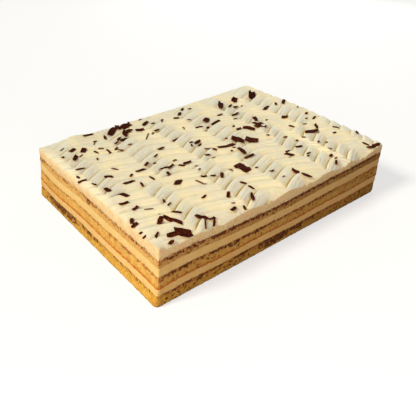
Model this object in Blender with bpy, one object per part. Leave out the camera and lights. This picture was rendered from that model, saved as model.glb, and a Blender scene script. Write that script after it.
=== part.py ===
"""Tiramisu layer cake: a whole tray cake with four straight cut sides.

Three soaked sponge sheets alternate with three cream layers. The top cream is
combed in zigzag ridges and strewn with chocolate shavings, which are fused to
it. Every layer is a separate solid that runs right through the cake.

Frame: metres, +Z up, origin on the table under the middle of the foot.
+X runs along the long side, +Y across it. The foot is a little larger than the
top, because the soaked bottom sponge has settled outwards.
"""
import math

import bmesh
import bpy
from mathutils import Vector

MM = 0.001

# Driving dimensions of the whole cake.
TOP_LENGTH = 280 * MM
TOP_WIDTH = 204 * MM
HEIGHT = 56 * MM
GAP = 0.3 * MM

# How far the foot stands out beyond the top edge, on each side.
SPREAD_LEFT = 6.2 * MM
SPREAD_RIGHT = 1.0 * MM
SPREAD_FRONT = 2.6 * MM
SPREAD_BACK = 4.2 * MM

# Mean heights at which one layer ends and the next begins.
LEVELS = {
    "foot": 0.0,
    "sponge_bottom": 12.0 * MM,
    "cream_lower": 18.5 * MM,
    "sponge_middle": 29.4 * MM,
    "cream_middle": 37.5 * MM,
    "sponge_top": 44.8 * MM,
}
LID_HEIGHT = 70 * MM

# Upright corners: nearly sharp in the creams, rounder in the bottom sponge.
CORNER_RADIUS_TOP = 1.0 * MM
CORNER_RADIUS_FOOT = 5.0 * MM
CORNER_STEPS = 3
LONG_STEPS = 13
SHORT_STEPS = 9
FOOT_ROUNDING = ((1.8 * MM, 0.0), (0.5 * MM, 0.6 * MM), (0.0, 2.0 * MM))
CAP_INSET = 13 * MM

# The comb: its pitch, depth, and the swing of the zigzag to either side.
TOOTH_PITCH = 14.3 * MM
TOOTH_DEPTH = 3.6 * MM
TOOTH_RISE = 0.16
TOOTH_FALL_POWER = 2.3
TOOTH_SAMPLES = (0.0, 0.14, 0.42, 0.74)
SWING = 5.2 * MM
FIRST_CREASE = 10.0 * MM
COMB_COLUMNS = 50
COMB_MARGIN = 12 * MM
ROW_ROUNDS = 12

# Where the comb turned, in millimetres from the left end: low, high, low and so on.
# One pass of the comb made the front of the cake and another the back.
FRONT_TURNS = (-22, 2, 38, 57, 93, 117, 140, 167, 195, 217, 227, 246, 270, 292, 320)
BACK_TURNS = (-25, -8, 8, 28, 62, 87, 112, 134, 154, 182, 204, 224, 246, 270, 292, 320)
TURN_ROUNDING = 0.55
PASS_SEAM = (74 * MM, 90 * MM)

# Where the comb pressed more lightly: the share of depth lost, and over what stretch.
RIGHT_END_LOSS = 0.55
RIGHT_END_STRETCH = (245 * MM, 285 * MM)
BACK_EDGE_LOSS = 0.85
BACK_EDGE_STRETCH = (168 * MM, 198 * MM)
FAR_LEFT_LOSS = 0.6
FAR_LEFT_ROWS = (150 * MM, 190 * MM)
FAR_LEFT_STRETCH = (80 * MM, 20 * MM)

# Height of the top edge at the four corners, against HEIGHT.
CORNER_LIFT = {"front_left": 1.4 * MM, "back_left": -3.0 * MM,
               "back_right": 0.8 * MM, "front_right": 1.0 * MM}
BACK_EDGE_DIP = 1.8 * MM
BACK_EDGE_FROM = 0.7
BACK_LUMP = 2.8 * MM
BACK_LUMP_PLACE = 0.13
BACK_LUMP_REACH = 0.05
BACK_LUMP_FROM = 0.88
RIGHT_EDGE_RISE = 2.6 * MM
RIGHT_EDGE_FROM = 0.75

# The cut pulled the cream down along the front and left edges, but not at their ends.
FRONT_EDGE_DIP = 3.5 * MM
FRONT_EDGE_REACH = 12 * MM
LEFT_EDGE_DIP = 1.8 * MM
LEFT_EDGE_REACH = 9 * MM
EDGE_END = 0.1

# How the layers run: a lift and a sag along the cake, a lift at the right end and a
# dip at the far left. The upper layers follow them most.
LEFT_LIFT = 1.0 * MM
LEFT_LIFT_PLACE = 0.11
LEFT_LIFT_REACH = 0.10
SAG_DEPTH = 1.9 * MM
SAG_PLACE = 0.42
SAG_REACH = 0.15
SAG_LEVELS = (16 * MM, 40 * MM)
RIGHT_LIFT = 2.6 * MM
RIGHT_LIFT_FROM = 0.6
FAR_LEFT_DIP = 2.1 * MM
FAR_LEFT_PLACE = 0.82
FAR_LEFT_REACH = 0.15
LOW_SHARE = 0.4
LOW_LEVELS = (10 * MM, 28 * MM)
RIPPLE_HEIGHT = 0.35 * MM
RIPPLES_ALONG = 3.3
RIPPLES_ACROSS = 2.1

# Chocolate shavings.
SHAVING_THICKNESS = 1.5 * MM
SHAVING_SINK = 0.9 * MM
SHAVING_STIFFNESS = 0.6
SHAVING_BOWS = (0.3 * MM, 0.8 * MM, 0.2 * MM)
LONG_STATIONS = ((-1.0, 0.62), (-0.35, 1.0), (0.35, 0.92), (1.0, 0.5))
SHORT_STATIONS = ((-1.0, 0.7), (0.1, 1.0), (1.0, 0.6))
LONG_SHAVING = 10.5 * MM

# The larger shavings: place from the front left corner of the top, length and
# width in millimetres, then heading and roll in degrees.
SHAVINGS = (
    (131, 51, 16, 10.5, -87, 0), (177, 87, 14, 9, -64, 5), (166, 96, 15.5, 8.5, -74, 5),
    (146, 93, 15, 4.6, -20, 0), (19.4, 7.5, 12, 4, -10, 20), (27, 5.3, 13, 9, -38, 8),
    (30, 23, 18, 4.5, -70, 10), (22, 29, 9, 4, 42, 0), (76, 193, 19, 6.5, 42, 30),
    (94, 195, 13, 8, 25, 30), (86, 198, 10, 6, 75, 10), (85, 182, 13, 7, 50, 25),
    (76, 170, 12, 4, 35, 15), (23, 179, 7.5, 3.8, 28, 20), (32, 173, 10.5, 6, 55, 15),
    (18, 163, 9, 4.2, 44, 20), (101, 178, 9, 4.5, -20, 10), (115, 189, 11.5, 3.6, 30, 15),
    (160, 187, 8, 3.5, 45, 0), (170, 152, 10, 7, 38, 20), (178, 145, 14, 4, 15, 10),
    (210, 175, 15, 8, 45, 35), (234, 177, 10, 7, 35, 25), (258, 174, 17, 11, 42, 42),
    (194, 109, 13.5, 5.5, -65, 10), (211, 113, 10, 6, -34, 0), (207, 107, 8, 5, -40, 0),
    (217, 123, 11, 4.5, 60, 0), (244, 104, 7, 6, -30, 0), (250, 138, 10.5, 3.2, 16, 0),
    (275, 135, 10, 4, 35, 15), (242, 63, 17, 4.5, -14, 15), (255, 68, 12, 3.5, 50, 15),
    (186, 43, 9, 3.5, -50, 0), (205, 48, 8, 3, -10, 10), (153, 77, 12, 6.5, 85, 15),
    (151, 63, 13, 3.5, 5, 0), (68, 67, 10, 6.5, 38, 10), (53.5, 104, 9, 3, -3, 0),
    (34, 93, 10, 3, -4, 0), (79, 93, 9, 2.6, 20, 0), (73, 95, 8, 3, -30, 0),
    (96, 90, 8.5, 3.2, -5, 0), (19, 79, 10.5, 3.8, -64, 10), (13, 94, 9, 4, -92, 0),
    (107, 53, 12, 3, 52, 0), (104, 10, 13, 2.8, 55, 0), (50.5, 12.5, 11, 4, -68, 10),
    (166, 17, 8.5, 5, -86, 0), (169, 6, 8.5, 4, -45, 0), (272, 3, 10, 4.5, -15, 10),
    (131.5, 119, 9, 3.4, 12, 10), (12, 66, 8, 3, -8, 0), (4.5, 42.6, 8.5, 3.5, 60, 0),
    (2.9, 36, 6, 3.6, 10, 0), (16, 55, 8, 3.2, 30, 0), (25, 113, 8, 3.2, -48, 0),
    (3.7, 121.6, 8.5, 3, 0, 0), (64.5, 111.5, 7, 2.8, 30, 0), (118, 138, 7.5, 2.4, 18, 0),
    (52, 200, 11, 3.2, 4, 0), (90, 183, 6, 5, 60, 0), (94, 187, 6, 4, -20, 0),
    (116, 168, 7, 3, 20, 0), (207, 145, 12, 3, 12, 0), (264, 3.2, 8, 4, -20, 0),
    (90, 25, 6.5, 3, 45, 0), (78, 5.3, 6, 3.5, 8, 0), (211, 5.3, 6, 2.4, 40, 0),
    (189, 48, 6.5, 2.6, 8, 0), (185, 115, 7.5, 4.5, 8, 0), (263, 136, 6, 3, 45, 0),
    (151, 181, 6, 3.5, -30, 0), (170, 195, 7, 3, 35, 0), (73, 174, 7, 3, 45, 0),
    (219, 167, 8, 2.6, 30, 0),
)

# Colour and roughness of each layer.
FINISHES = {
    "sponge_bottom": ((0.62, 0.36, 0.11), 0.9),
    "cream_lower": ((0.86, 0.62, 0.26), 0.5),
    "sponge_middle": ((0.66, 0.40, 0.13), 0.9),
    "cream_middle": ((0.87, 0.63, 0.27), 0.5),
    "sponge_top": ((0.70, 0.45, 0.17), 0.9),
    "cream_top": ((0.93, 0.84, 0.62), 0.4),
}

# Place of the top's front left corner.
TOP_LEFT = (SPREAD_LEFT - SPREAD_RIGHT - TOP_LENGTH) / 2
TOP_FRONT = (SPREAD_FRONT - SPREAD_BACK - TOP_WIDTH) / 2


def smooth(low, high, value):
    """Go from 0 to 1 with an easy start and end as value passes low to high."""
    share = min(1.0, max(0.0, (value - low) / (high - low)))
    return share * share * (3 - 2 * share)


def clear_scene():
    """Remove what the scene holds."""
    for scene_object in list(bpy.data.objects):
        bpy.data.objects.remove(scene_object, do_unlink=True)


def make_collection(name):
    """Add a collection to the scene."""
    collection = bpy.data.collections.new(name)
    bpy.context.scene.collection.children.link(collection)
    return collection


def make_material(name, colour, roughness):
    """Make a plain Principled material."""
    material = bpy.data.materials.new(name)
    material.use_nodes = True
    shader = material.node_tree.nodes["Principled BSDF"]
    shader.inputs["Base Color"].default_value = (*colour, 1.0)
    shader.inputs["Roughness"].default_value = roughness
    shader.inputs["Metallic"].default_value = 0.0
    return material


def add_object(name, mesh_data, collection, material=None):
    """Turn a bmesh into a named object."""
    mesh = bpy.data.meshes.new(name)
    mesh_data.to_mesh(mesh)
    mesh_data.free()
    new_object = bpy.data.objects.new(name, mesh)
    collection.objects.link(new_object)
    if material is not None:
        mesh.materials.append(material)
    return new_object


# Outline of the cake ---------------------------------------------------------

def spread_at(height):
    """Share of the foot's spread that a height has: none at the top edge."""
    depth = min(1.0, max(0.0, 1 - height / HEIGHT))
    return depth * depth


def rim_point(corner, share, height, inset):
    """Point of the outline: share 0 to 1 rounds the corner, 1 to 2 runs on."""
    spread = spread_at(height)
    depth = min(1.0, max(0.0, 1 - height / HEIGHT))
    radius = CORNER_RADIUS_TOP + (CORNER_RADIUS_FOOT - CORNER_RADIUS_TOP) * depth ** 3
    low_x = TOP_LEFT - SPREAD_LEFT * spread + inset + radius
    high_x = TOP_LEFT + TOP_LENGTH + SPREAD_RIGHT * spread - inset - radius
    low_y = TOP_FRONT - SPREAD_FRONT * spread + inset + radius
    high_y = TOP_FRONT + TOP_WIDTH + SPREAD_BACK * spread - inset - radius
    centres = ((high_x, low_y), (high_x, high_y), (low_x, high_y), (low_x, low_y))
    angle = math.radians(90 * (corner - 1 + min(share, 1.0)))
    here = Vector(centres[corner])
    ahead = Vector(centres[(corner + 1) % 4])
    centre = here.lerp(ahead, max(0.0, share - 1.0))
    return centre + Vector((math.cos(angle), math.sin(angle))) * radius


def rim_stations():
    """List the outline's stations anticlockwise, from the front right corner."""
    stations = []
    for corner in range(4):
        run_steps = SHORT_STEPS if corner % 2 == 0 else LONG_STEPS
        stations += [(corner, step / CORNER_STEPS) for step in range(CORNER_STEPS)]
        stations += [(corner, 1 + step / run_steps) for step in range(run_steps)]
    return stations


def bell(place, middle, reach):
    """A soft bump of height 1 at its middle."""
    return math.exp(-((place - middle) / reach) ** 2)


def layer_wave(x, y, level):
    """How far a seam of a named level dips or lifts at a place."""
    along = (x - TOP_LEFT) / TOP_LENGTH
    across = (y - TOP_FRONT) / TOP_WIDTH
    sag = SAG_DEPTH * smooth(*SAG_LEVELS, level) * bell(along, SAG_PLACE, SAG_REACH)
    left = LEFT_LIFT * bell(along, LEFT_LIFT_PLACE, LEFT_LIFT_REACH)
    right = RIGHT_LIFT * smooth(RIGHT_LIFT_FROM, 1.0, along)
    far_left = FAR_LEFT_DIP * bell(across, FAR_LEFT_PLACE, FAR_LEFT_REACH) * smooth(0.4, 0.0, along)
    turns = RIPPLES_ALONG * along + RIPPLES_ACROSS * across
    ripple = RIPPLE_HEIGHT * math.sin(2 * math.pi * turns)
    follow = LOW_SHARE + (1 - LOW_SHARE) * smooth(*LOW_LEVELS, level)
    return (left + right - far_left) * follow - sag + ripple


def rim_ring(level, offset, inset=0.0):
    """One ring of the outline at a layer's wavy level."""
    ring = []
    for corner, share in rim_stations():
        flat = rim_point(corner, share, level, inset)
        height = level + layer_wave(flat.x, flat.y, level) + offset
        place = rim_point(corner, share, height, inset)
        ring.append((place.x, place.y, height))
    return ring


def flat_ring(height, inset):
    """One level ring of the outline."""
    ring = []
    for corner, share in rim_stations():
        place = rim_point(corner, share, height, inset)
        ring.append((place.x, place.y, height))
    return ring


def loft(rings):
    """Skin a stack of rings, bottom to top, and close both ends."""
    mesh_data = bmesh.new()
    levels = [[mesh_data.verts.new(place) for place in ring] for ring in rings]
    for number, (lower, upper) in enumerate(zip(levels, levels[1:])):
        for here in range(len(lower)):
            ahead = (here + 1) % len(lower)
            if number == 0:
                mesh_data.faces.new((lower[here], lower[ahead], upper[ahead]))
                mesh_data.faces.new((lower[here], upper[ahead], upper[here]))
            else:
                mesh_data.faces.new((lower[here], lower[ahead], upper[here]))
                mesh_data.faces.new((lower[ahead], upper[ahead], upper[here]))
    mesh_data.faces.new(list(reversed(levels[0])))
    mesh_data.faces.new(levels[-1])
    return mesh_data


def cap_rings(level, offset):
    """The two rings that close a layer: a level one inside, a wavy one outside.

    The seam faces of neighbours are the same skin, so that they never meet.
    """
    inner = flat_ring(level, CAP_INSET)
    inner = [(x, y, height + offset) for x, y, height in inner]
    return inner, rim_ring(level, offset)


def layer_rings(below, above):
    """Rings of a layer between two named levels."""
    floor_inner, floor_outer = cap_rings(LEVELS[below], GAP / 2)
    roof_inner, roof_outer = cap_rings(LEVELS[above], -GAP / 2)
    return [floor_inner, floor_outer, roof_outer, roof_inner]


def bottom_rings():
    """Rings of the bottom sponge: a flat foot with a rounded edge."""
    roof_inner, roof_outer = cap_rings(LEVELS["sponge_bottom"], -GAP / 2)
    foot = [flat_ring(height, inset) for inset, height in FOOT_ROUNDING]
    return foot + [roof_outer, roof_inner]


# Combed top cream ------------------------------------------------------------

def zigzag(along, turns):
    """Sideways swing of the comb: a hard low turn and a rounded high turn."""
    for number, (start, end) in enumerate(zip(turns, turns[1:])):
        if along <= end * MM or number == len(turns) - 2:
            break
    share = min(1.0, max(0.0, (along / MM - start) / (end - start)))
    straight = (1 - TURN_ROUNDING) * share
    if number % 2 == 0:
        rising = straight + TURN_ROUNDING * math.sin(share * math.pi / 2)
        return SWING * (2 * rising - 1)
    falling = straight + TURN_ROUNDING * (1 - math.cos(share * math.pi / 2))
    return SWING * (1 - 2 * falling)


def comb_swing(along, row):
    """Swing at a place; the comb made one pass in front and one behind."""
    back = smooth(*PASS_SEAM, row)
    return zigzag(along, FRONT_TURNS) * (1 - back) + zigzag(along, BACK_TURNS) * back


def tooth(phase):
    """Ridge profile over one pitch: a steep rise out of the crease, a long fall."""
    if phase < TOOTH_RISE:
        return math.sin(phase / TOOTH_RISE * math.pi / 2)
    return 1 - ((phase - TOOTH_RISE) / (1 - TOOTH_RISE)) ** TOOTH_FALL_POWER


def comb_depth(along, row):
    """Depth of the comb, which fades at the right end, the back and the far left."""
    right_end = 1 - RIGHT_END_LOSS * smooth(*RIGHT_END_STRETCH, along)
    back_edge = 1 - BACK_EDGE_LOSS * smooth(*BACK_EDGE_STRETCH, row)
    corner = smooth(*FAR_LEFT_ROWS, row) * smooth(*FAR_LEFT_STRETCH, along)
    return TOOTH_DEPTH * right_end * back_edge * (1 - FAR_LEFT_LOSS * corner)


def between_ends(share):
    """1 along an edge, easing to 0 at both its ends."""
    return smooth(0.0, EDGE_END, share) * smooth(1.0, 1 - EDGE_END, share)


def top_level(along, across):
    """Height of the ridge tops, between the four corners' heights."""
    u = min(1.0, max(0.0, along / TOP_LENGTH))
    v = min(1.0, max(0.0, across / TOP_WIDTH))
    front = CORNER_LIFT["front_left"] * (1 - u) + CORNER_LIFT["front_right"] * u
    back = CORNER_LIFT["back_left"] * (1 - u) + CORNER_LIFT["back_right"] * u
    dip = BACK_EDGE_DIP * smooth(BACK_EDGE_FROM, 1.0, v) * math.sin(math.pi * u)
    rise = RIGHT_EDGE_RISE * smooth(RIGHT_EDGE_FROM, 1.0, u) * math.sin(math.pi * v)
    lump = BACK_LUMP * bell(u, BACK_LUMP_PLACE, BACK_LUMP_REACH) * smooth(BACK_LUMP_FROM, 1.0, v)
    front_cut = FRONT_EDGE_DIP * max(0.0, 1 - v * TOP_WIDTH / FRONT_EDGE_REACH) ** 2
    left_cut = LEFT_EDGE_DIP * max(0.0, 1 - u * TOP_LENGTH / LEFT_EDGE_REACH) ** 2
    pulled = front_cut * between_ends(u) + left_cut * between_ends(v)
    return HEIGHT + front * (1 - v) + back * v - dip + rise + lump - pulled


def comb_height(along, row):
    """Height of the cream where a comb row crosses a place along the cake."""
    phase = ((FIRST_CREASE - row) / TOOTH_PITCH) % 1.0
    across = row + comb_swing(along, row)
    return top_level(along, across) - comb_depth(along, row) * (1 - tooth(phase))


def cream_height(x, y):
    """Height of the top cream at a place."""
    along = x - TOP_LEFT
    across = y - TOP_FRONT
    row = across
    for _ in range(ROW_ROUNDS):
        row = across - comb_swing(along, row)
    return comb_height(along, row)


def comb_rows():
    """Row places, from front to back, at each sample of each tooth."""
    first = math.floor(-COMB_MARGIN / TOOTH_PITCH) - 1
    last = math.ceil((TOP_WIDTH + COMB_MARGIN) / TOOTH_PITCH) + 1
    rows = []
    for number in range(first, last):
        rows += [FIRST_CREASE + (number + 1 - share) * TOOTH_PITCH for share in TOOTH_SAMPLES]
    return sorted(rows)


def combed_block(collection):
    """A block larger than the cake, with the combed surface on top."""
    rows = comb_rows()
    mesh_data = bmesh.new()
    bmesh.ops.create_grid(mesh_data, x_segments=COMB_COLUMNS, y_segments=len(rows) - 1, size=0.5)
    reach = TOP_LENGTH + 2 * COMB_MARGIN
    for vert in mesh_data.verts:
        along = (vert.co.x + 0.5) * reach - COMB_MARGIN
        row = rows[round((vert.co.y + 0.5) * (len(rows) - 1))]
        across = row + comb_swing(along, row)
        vert.co = (TOP_LEFT + along, TOP_FRONT + across, comb_height(along, row))
    sheet = list(mesh_data.faces)
    bmesh.ops.recalc_face_normals(mesh_data, faces=sheet)
    rim = [edge for edge in mesh_data.edges if edge.is_boundary]
    skirt = bmesh.ops.extrude_edge_only(mesh_data, edges=rim)["geom"]
    for vert in skirt:
        if isinstance(vert, bmesh.types.BMVert):
            vert.co.z = LEVELS["cream_middle"]
    loose_rim = [edge for edge in mesh_data.edges if edge.is_boundary]
    bmesh.ops.contextual_create(mesh_data, geom=loose_rim)
    bmesh.ops.recalc_face_normals(mesh_data, faces=mesh_data.faces)
    block = add_object("combed_block", mesh_data, collection)
    block.hide_render = True
    block.display_type = "WIRE"
    return block


def resting_height(foot, reach):
    """Height of a cross line's middle where one of its ends just sinks in the cream."""
    low = cream_height(foot.x - reach.x, foot.y - reach.y) + reach.z
    high = cream_height(foot.x + reach.x, foot.y + reach.y) - reach.z
    return max(low, high) - SHAVING_SINK


def shaving_mesh(along, across, length, width, heading, roll, bow):
    """A thin bent plate that rests on the ridges and is a little sunk in them."""
    turn = math.radians(heading)
    tilt = math.radians(roll)
    run = Vector((math.cos(turn), math.sin(turn), 0))
    side = Vector((-math.sin(turn) * math.cos(tilt), math.cos(turn) * math.cos(tilt),
                   math.sin(tilt)))
    up = run.cross(side)
    centre = Vector((TOP_LEFT + along, TOP_FRONT + across, 0))
    stations = LONG_STATIONS if length > LONG_SHAVING else SHORT_STATIONS
    feet = [centre + run * (share * length / 2) for share, _ in stations]
    reaches = [side * (breadth * width / 2) for _, breadth in stations]
    rests = [resting_height(foot, reach) for foot, reach in zip(feet, reaches)]
    middle = sum(rests) / len(rests)
    slope = (rests[-1] + rests[-2] - rests[0] - rests[1]) / 2 / length
    mesh_data = bmesh.new()
    frames = []
    for (share, _), foot, reach, rest in zip(stations, feet, reaches, rests):
        stiff = middle + slope * share * length / 2
        foot.z = rest + SHAVING_STIFFNESS * (stiff - rest) + bow * share * share
        corners = (foot - reach, foot + reach,
                   foot + reach + up * SHAVING_THICKNESS, foot - reach + up * SHAVING_THICKNESS)
        frames.append([mesh_data.verts.new(corner) for corner in corners])
    for near, far in zip(frames, frames[1:]):
        for corner in range(4):
            ahead = (corner + 1) % 4
            mesh_data.faces.new((near[corner], near[ahead], far[ahead], far[corner]))
    mesh_data.faces.new(frames[0])
    mesh_data.faces.new(list(reversed(frames[-1])))
    bmesh.ops.triangulate(mesh_data, faces=mesh_data.faces)
    bmesh.ops.recalc_face_normals(mesh_data, faces=mesh_data.faces)
    return mesh_data


def add_shavings(collection):
    """Lay every shaving in the collection that the cream is joined with."""
    for number, (along, across, length, width, heading, roll) in enumerate(SHAVINGS):
        bow = SHAVING_BOWS[number % len(SHAVING_BOWS)]
        mesh_data = shaving_mesh(along * MM, across * MM, length * MM, width * MM,
                                 heading, roll, bow)
        add_object(f"shaving_{number:02d}", mesh_data, collection)


def join_boolean(target, operation, collection=None, cutter=None):
    """Apply one Boolean to an object, against a collection or a cutter."""
    modifier = target.modifiers.new("join", "BOOLEAN")
    modifier.operation = operation
    if collection is not None:
        modifier.operand_type = "COLLECTION"
        modifier.collection = collection
    else:
        modifier.object = cutter
    bpy.context.view_layer.update()
    evaluated = target.evaluated_get(bpy.context.evaluated_depsgraph_get())
    joined = bpy.data.meshes.new_from_object(evaluated)
    target.modifiers.clear()
    target.data = joined


def make_cream_top(parts, cutters, material):
    """The top cream: its block is trimmed by the combed surface, then strewn."""
    floor_inner, floor_outer = cap_rings(LEVELS["sponge_top"], GAP / 2)
    rings = [floor_inner, floor_outer, flat_ring(HEIGHT, 0.0), flat_ring(LID_HEIGHT, 0.0)]
    cream = add_object("cream_top", loft(rings), parts, material)
    join_boolean(cream, "INTERSECT", cutter=combed_block(cutters))
    shavings = make_collection("shavings")
    add_shavings(shavings)
    join_boolean(cream, "UNION", collection=shavings)
    for shaving in list(shavings.objects):
        bpy.data.objects.remove(shaving, do_unlink=True)
    bpy.data.collections.remove(shavings)
    return cream


def main():
    """Build the cake."""
    clear_scene()
    parts = make_collection("tiramisu_layer_cake")
    cutters = make_collection("cutters")
    finishes = {name: make_material(name, *finish) for name, finish in FINISHES.items()}
    add_object("sponge_bottom", loft(bottom_rings()), parts, finishes["sponge_bottom"])
    layers = list(LEVELS)[1:]
    for below, name in zip(layers, layers[1:]):
        add_object(name, loft(layer_rings(below, name)), parts, finishes[name])
    make_cream_top(parts, cutters, finishes["cream_top"])


main()
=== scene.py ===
"""Looks of the tiramisu layer cake: combed cream, cut cream and sponge sides, chocolate shavings.

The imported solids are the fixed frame. Each layer is modelled again over its solid with the fine
surface of the real food, in metres, with +Z up and the origin on the table under the cake.
"""

import logging
import math
import random
from dataclasses import dataclass, field
from enum import Enum

import bpy
import numpy as np
from mathutils import Matrix, Vector, noise

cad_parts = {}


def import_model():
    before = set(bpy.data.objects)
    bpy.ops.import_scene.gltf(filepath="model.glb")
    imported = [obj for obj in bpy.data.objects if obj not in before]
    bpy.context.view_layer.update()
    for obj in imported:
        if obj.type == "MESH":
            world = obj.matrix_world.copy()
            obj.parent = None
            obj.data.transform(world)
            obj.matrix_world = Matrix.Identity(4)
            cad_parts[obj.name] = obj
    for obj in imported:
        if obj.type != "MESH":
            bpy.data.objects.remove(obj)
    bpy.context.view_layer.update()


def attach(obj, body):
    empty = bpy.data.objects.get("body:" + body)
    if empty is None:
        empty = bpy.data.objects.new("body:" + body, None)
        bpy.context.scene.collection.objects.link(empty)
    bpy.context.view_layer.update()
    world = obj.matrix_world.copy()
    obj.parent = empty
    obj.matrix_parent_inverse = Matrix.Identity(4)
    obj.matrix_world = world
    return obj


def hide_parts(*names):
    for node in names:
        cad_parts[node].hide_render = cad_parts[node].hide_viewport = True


MM = 0.001
LOG = logging.getLogger("tiramisu")

# Turning everyday colours into the shader's.
SRGB_KNEE = 0.04045
SRGB_SLOPE = 12.92
SRGB_SHIFT = 0.055
SRGB_POWER = 2.4

# Sharpest angle in degrees that is still shaded smooth.
LAYER_SHADING = 50
CREAM_SHADING = 60
SHAVING_SHADING = 35

# Number of the first thin scraping, well past the shavings'.
FIRST_SCRAPING = 400

# Smallest length that anything is divided by.
TINY = 1e-9

# Short names for Blender's types, and for colours, places, pairs of limits and rows of values.
Piece = bpy.types.Object
Material = bpy.types.Material
Socket = bpy.types.NodeSocket
Colour = tuple[float, float, float, float]
Triple = tuple[float, float, float]
Span = tuple[float, float]
Laid = tuple[tuple[float, ...], ...]


class Side(Enum):
    """The cake's four cut sides, in the order in which the outline runs."""

    RIGHT = 0
    BACK = 1
    LEFT = 2
    FRONT = 3


SIDES = len(Side)


class Food(Enum):
    """What a layer is made of."""

    SPONGE = "sponge"
    CREAM = "filling_cream"


def srgb(red: int, green: int, blue: int) -> Colour:
    """Turn an everyday 0 to 255 colour into a shader colour.

    Args:
        red: Red, from 0 to 255.
        green: Green, from 0 to 255.
        blue: Blue, from 0 to 255.

    Returns:
        The linear colour with a full alpha.
    """
    linear = []
    for value in (red / 255, green / 255, blue / 255):
        low = value / SRGB_SLOPE
        high = ((value + SRGB_SHIFT) / (1 + SRGB_SHIFT)) ** SRGB_POWER
        linear.append(low if value <= SRGB_KNEE else high)
    return (*linear, 1.0)


def smooth(low: float, high: float, value: np.ndarray) -> np.ndarray:
    """Go from 0 to 1 with an easy start and end as value passes low to high."""
    share = np.clip((np.asarray(value, float) - low) / (high - low), 0, 1)
    return share * share * (3 - 2 * share)


def bell(place: np.ndarray, middle: float, reach: float) -> np.ndarray:
    """A soft bump of height 1 at its middle."""
    return np.exp(-((place - middle) / reach) ** 2)


def grain(points: np.ndarray, size: float, seed: float = 0.0) -> np.ndarray:
    """Sample noise with features of one size at each place; another seed shifts the pattern."""
    scaled = points / size + seed
    return np.array([noise.noise(place) for place in scaled])


# Shape of the cake ------------------------------------------------------------


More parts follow.
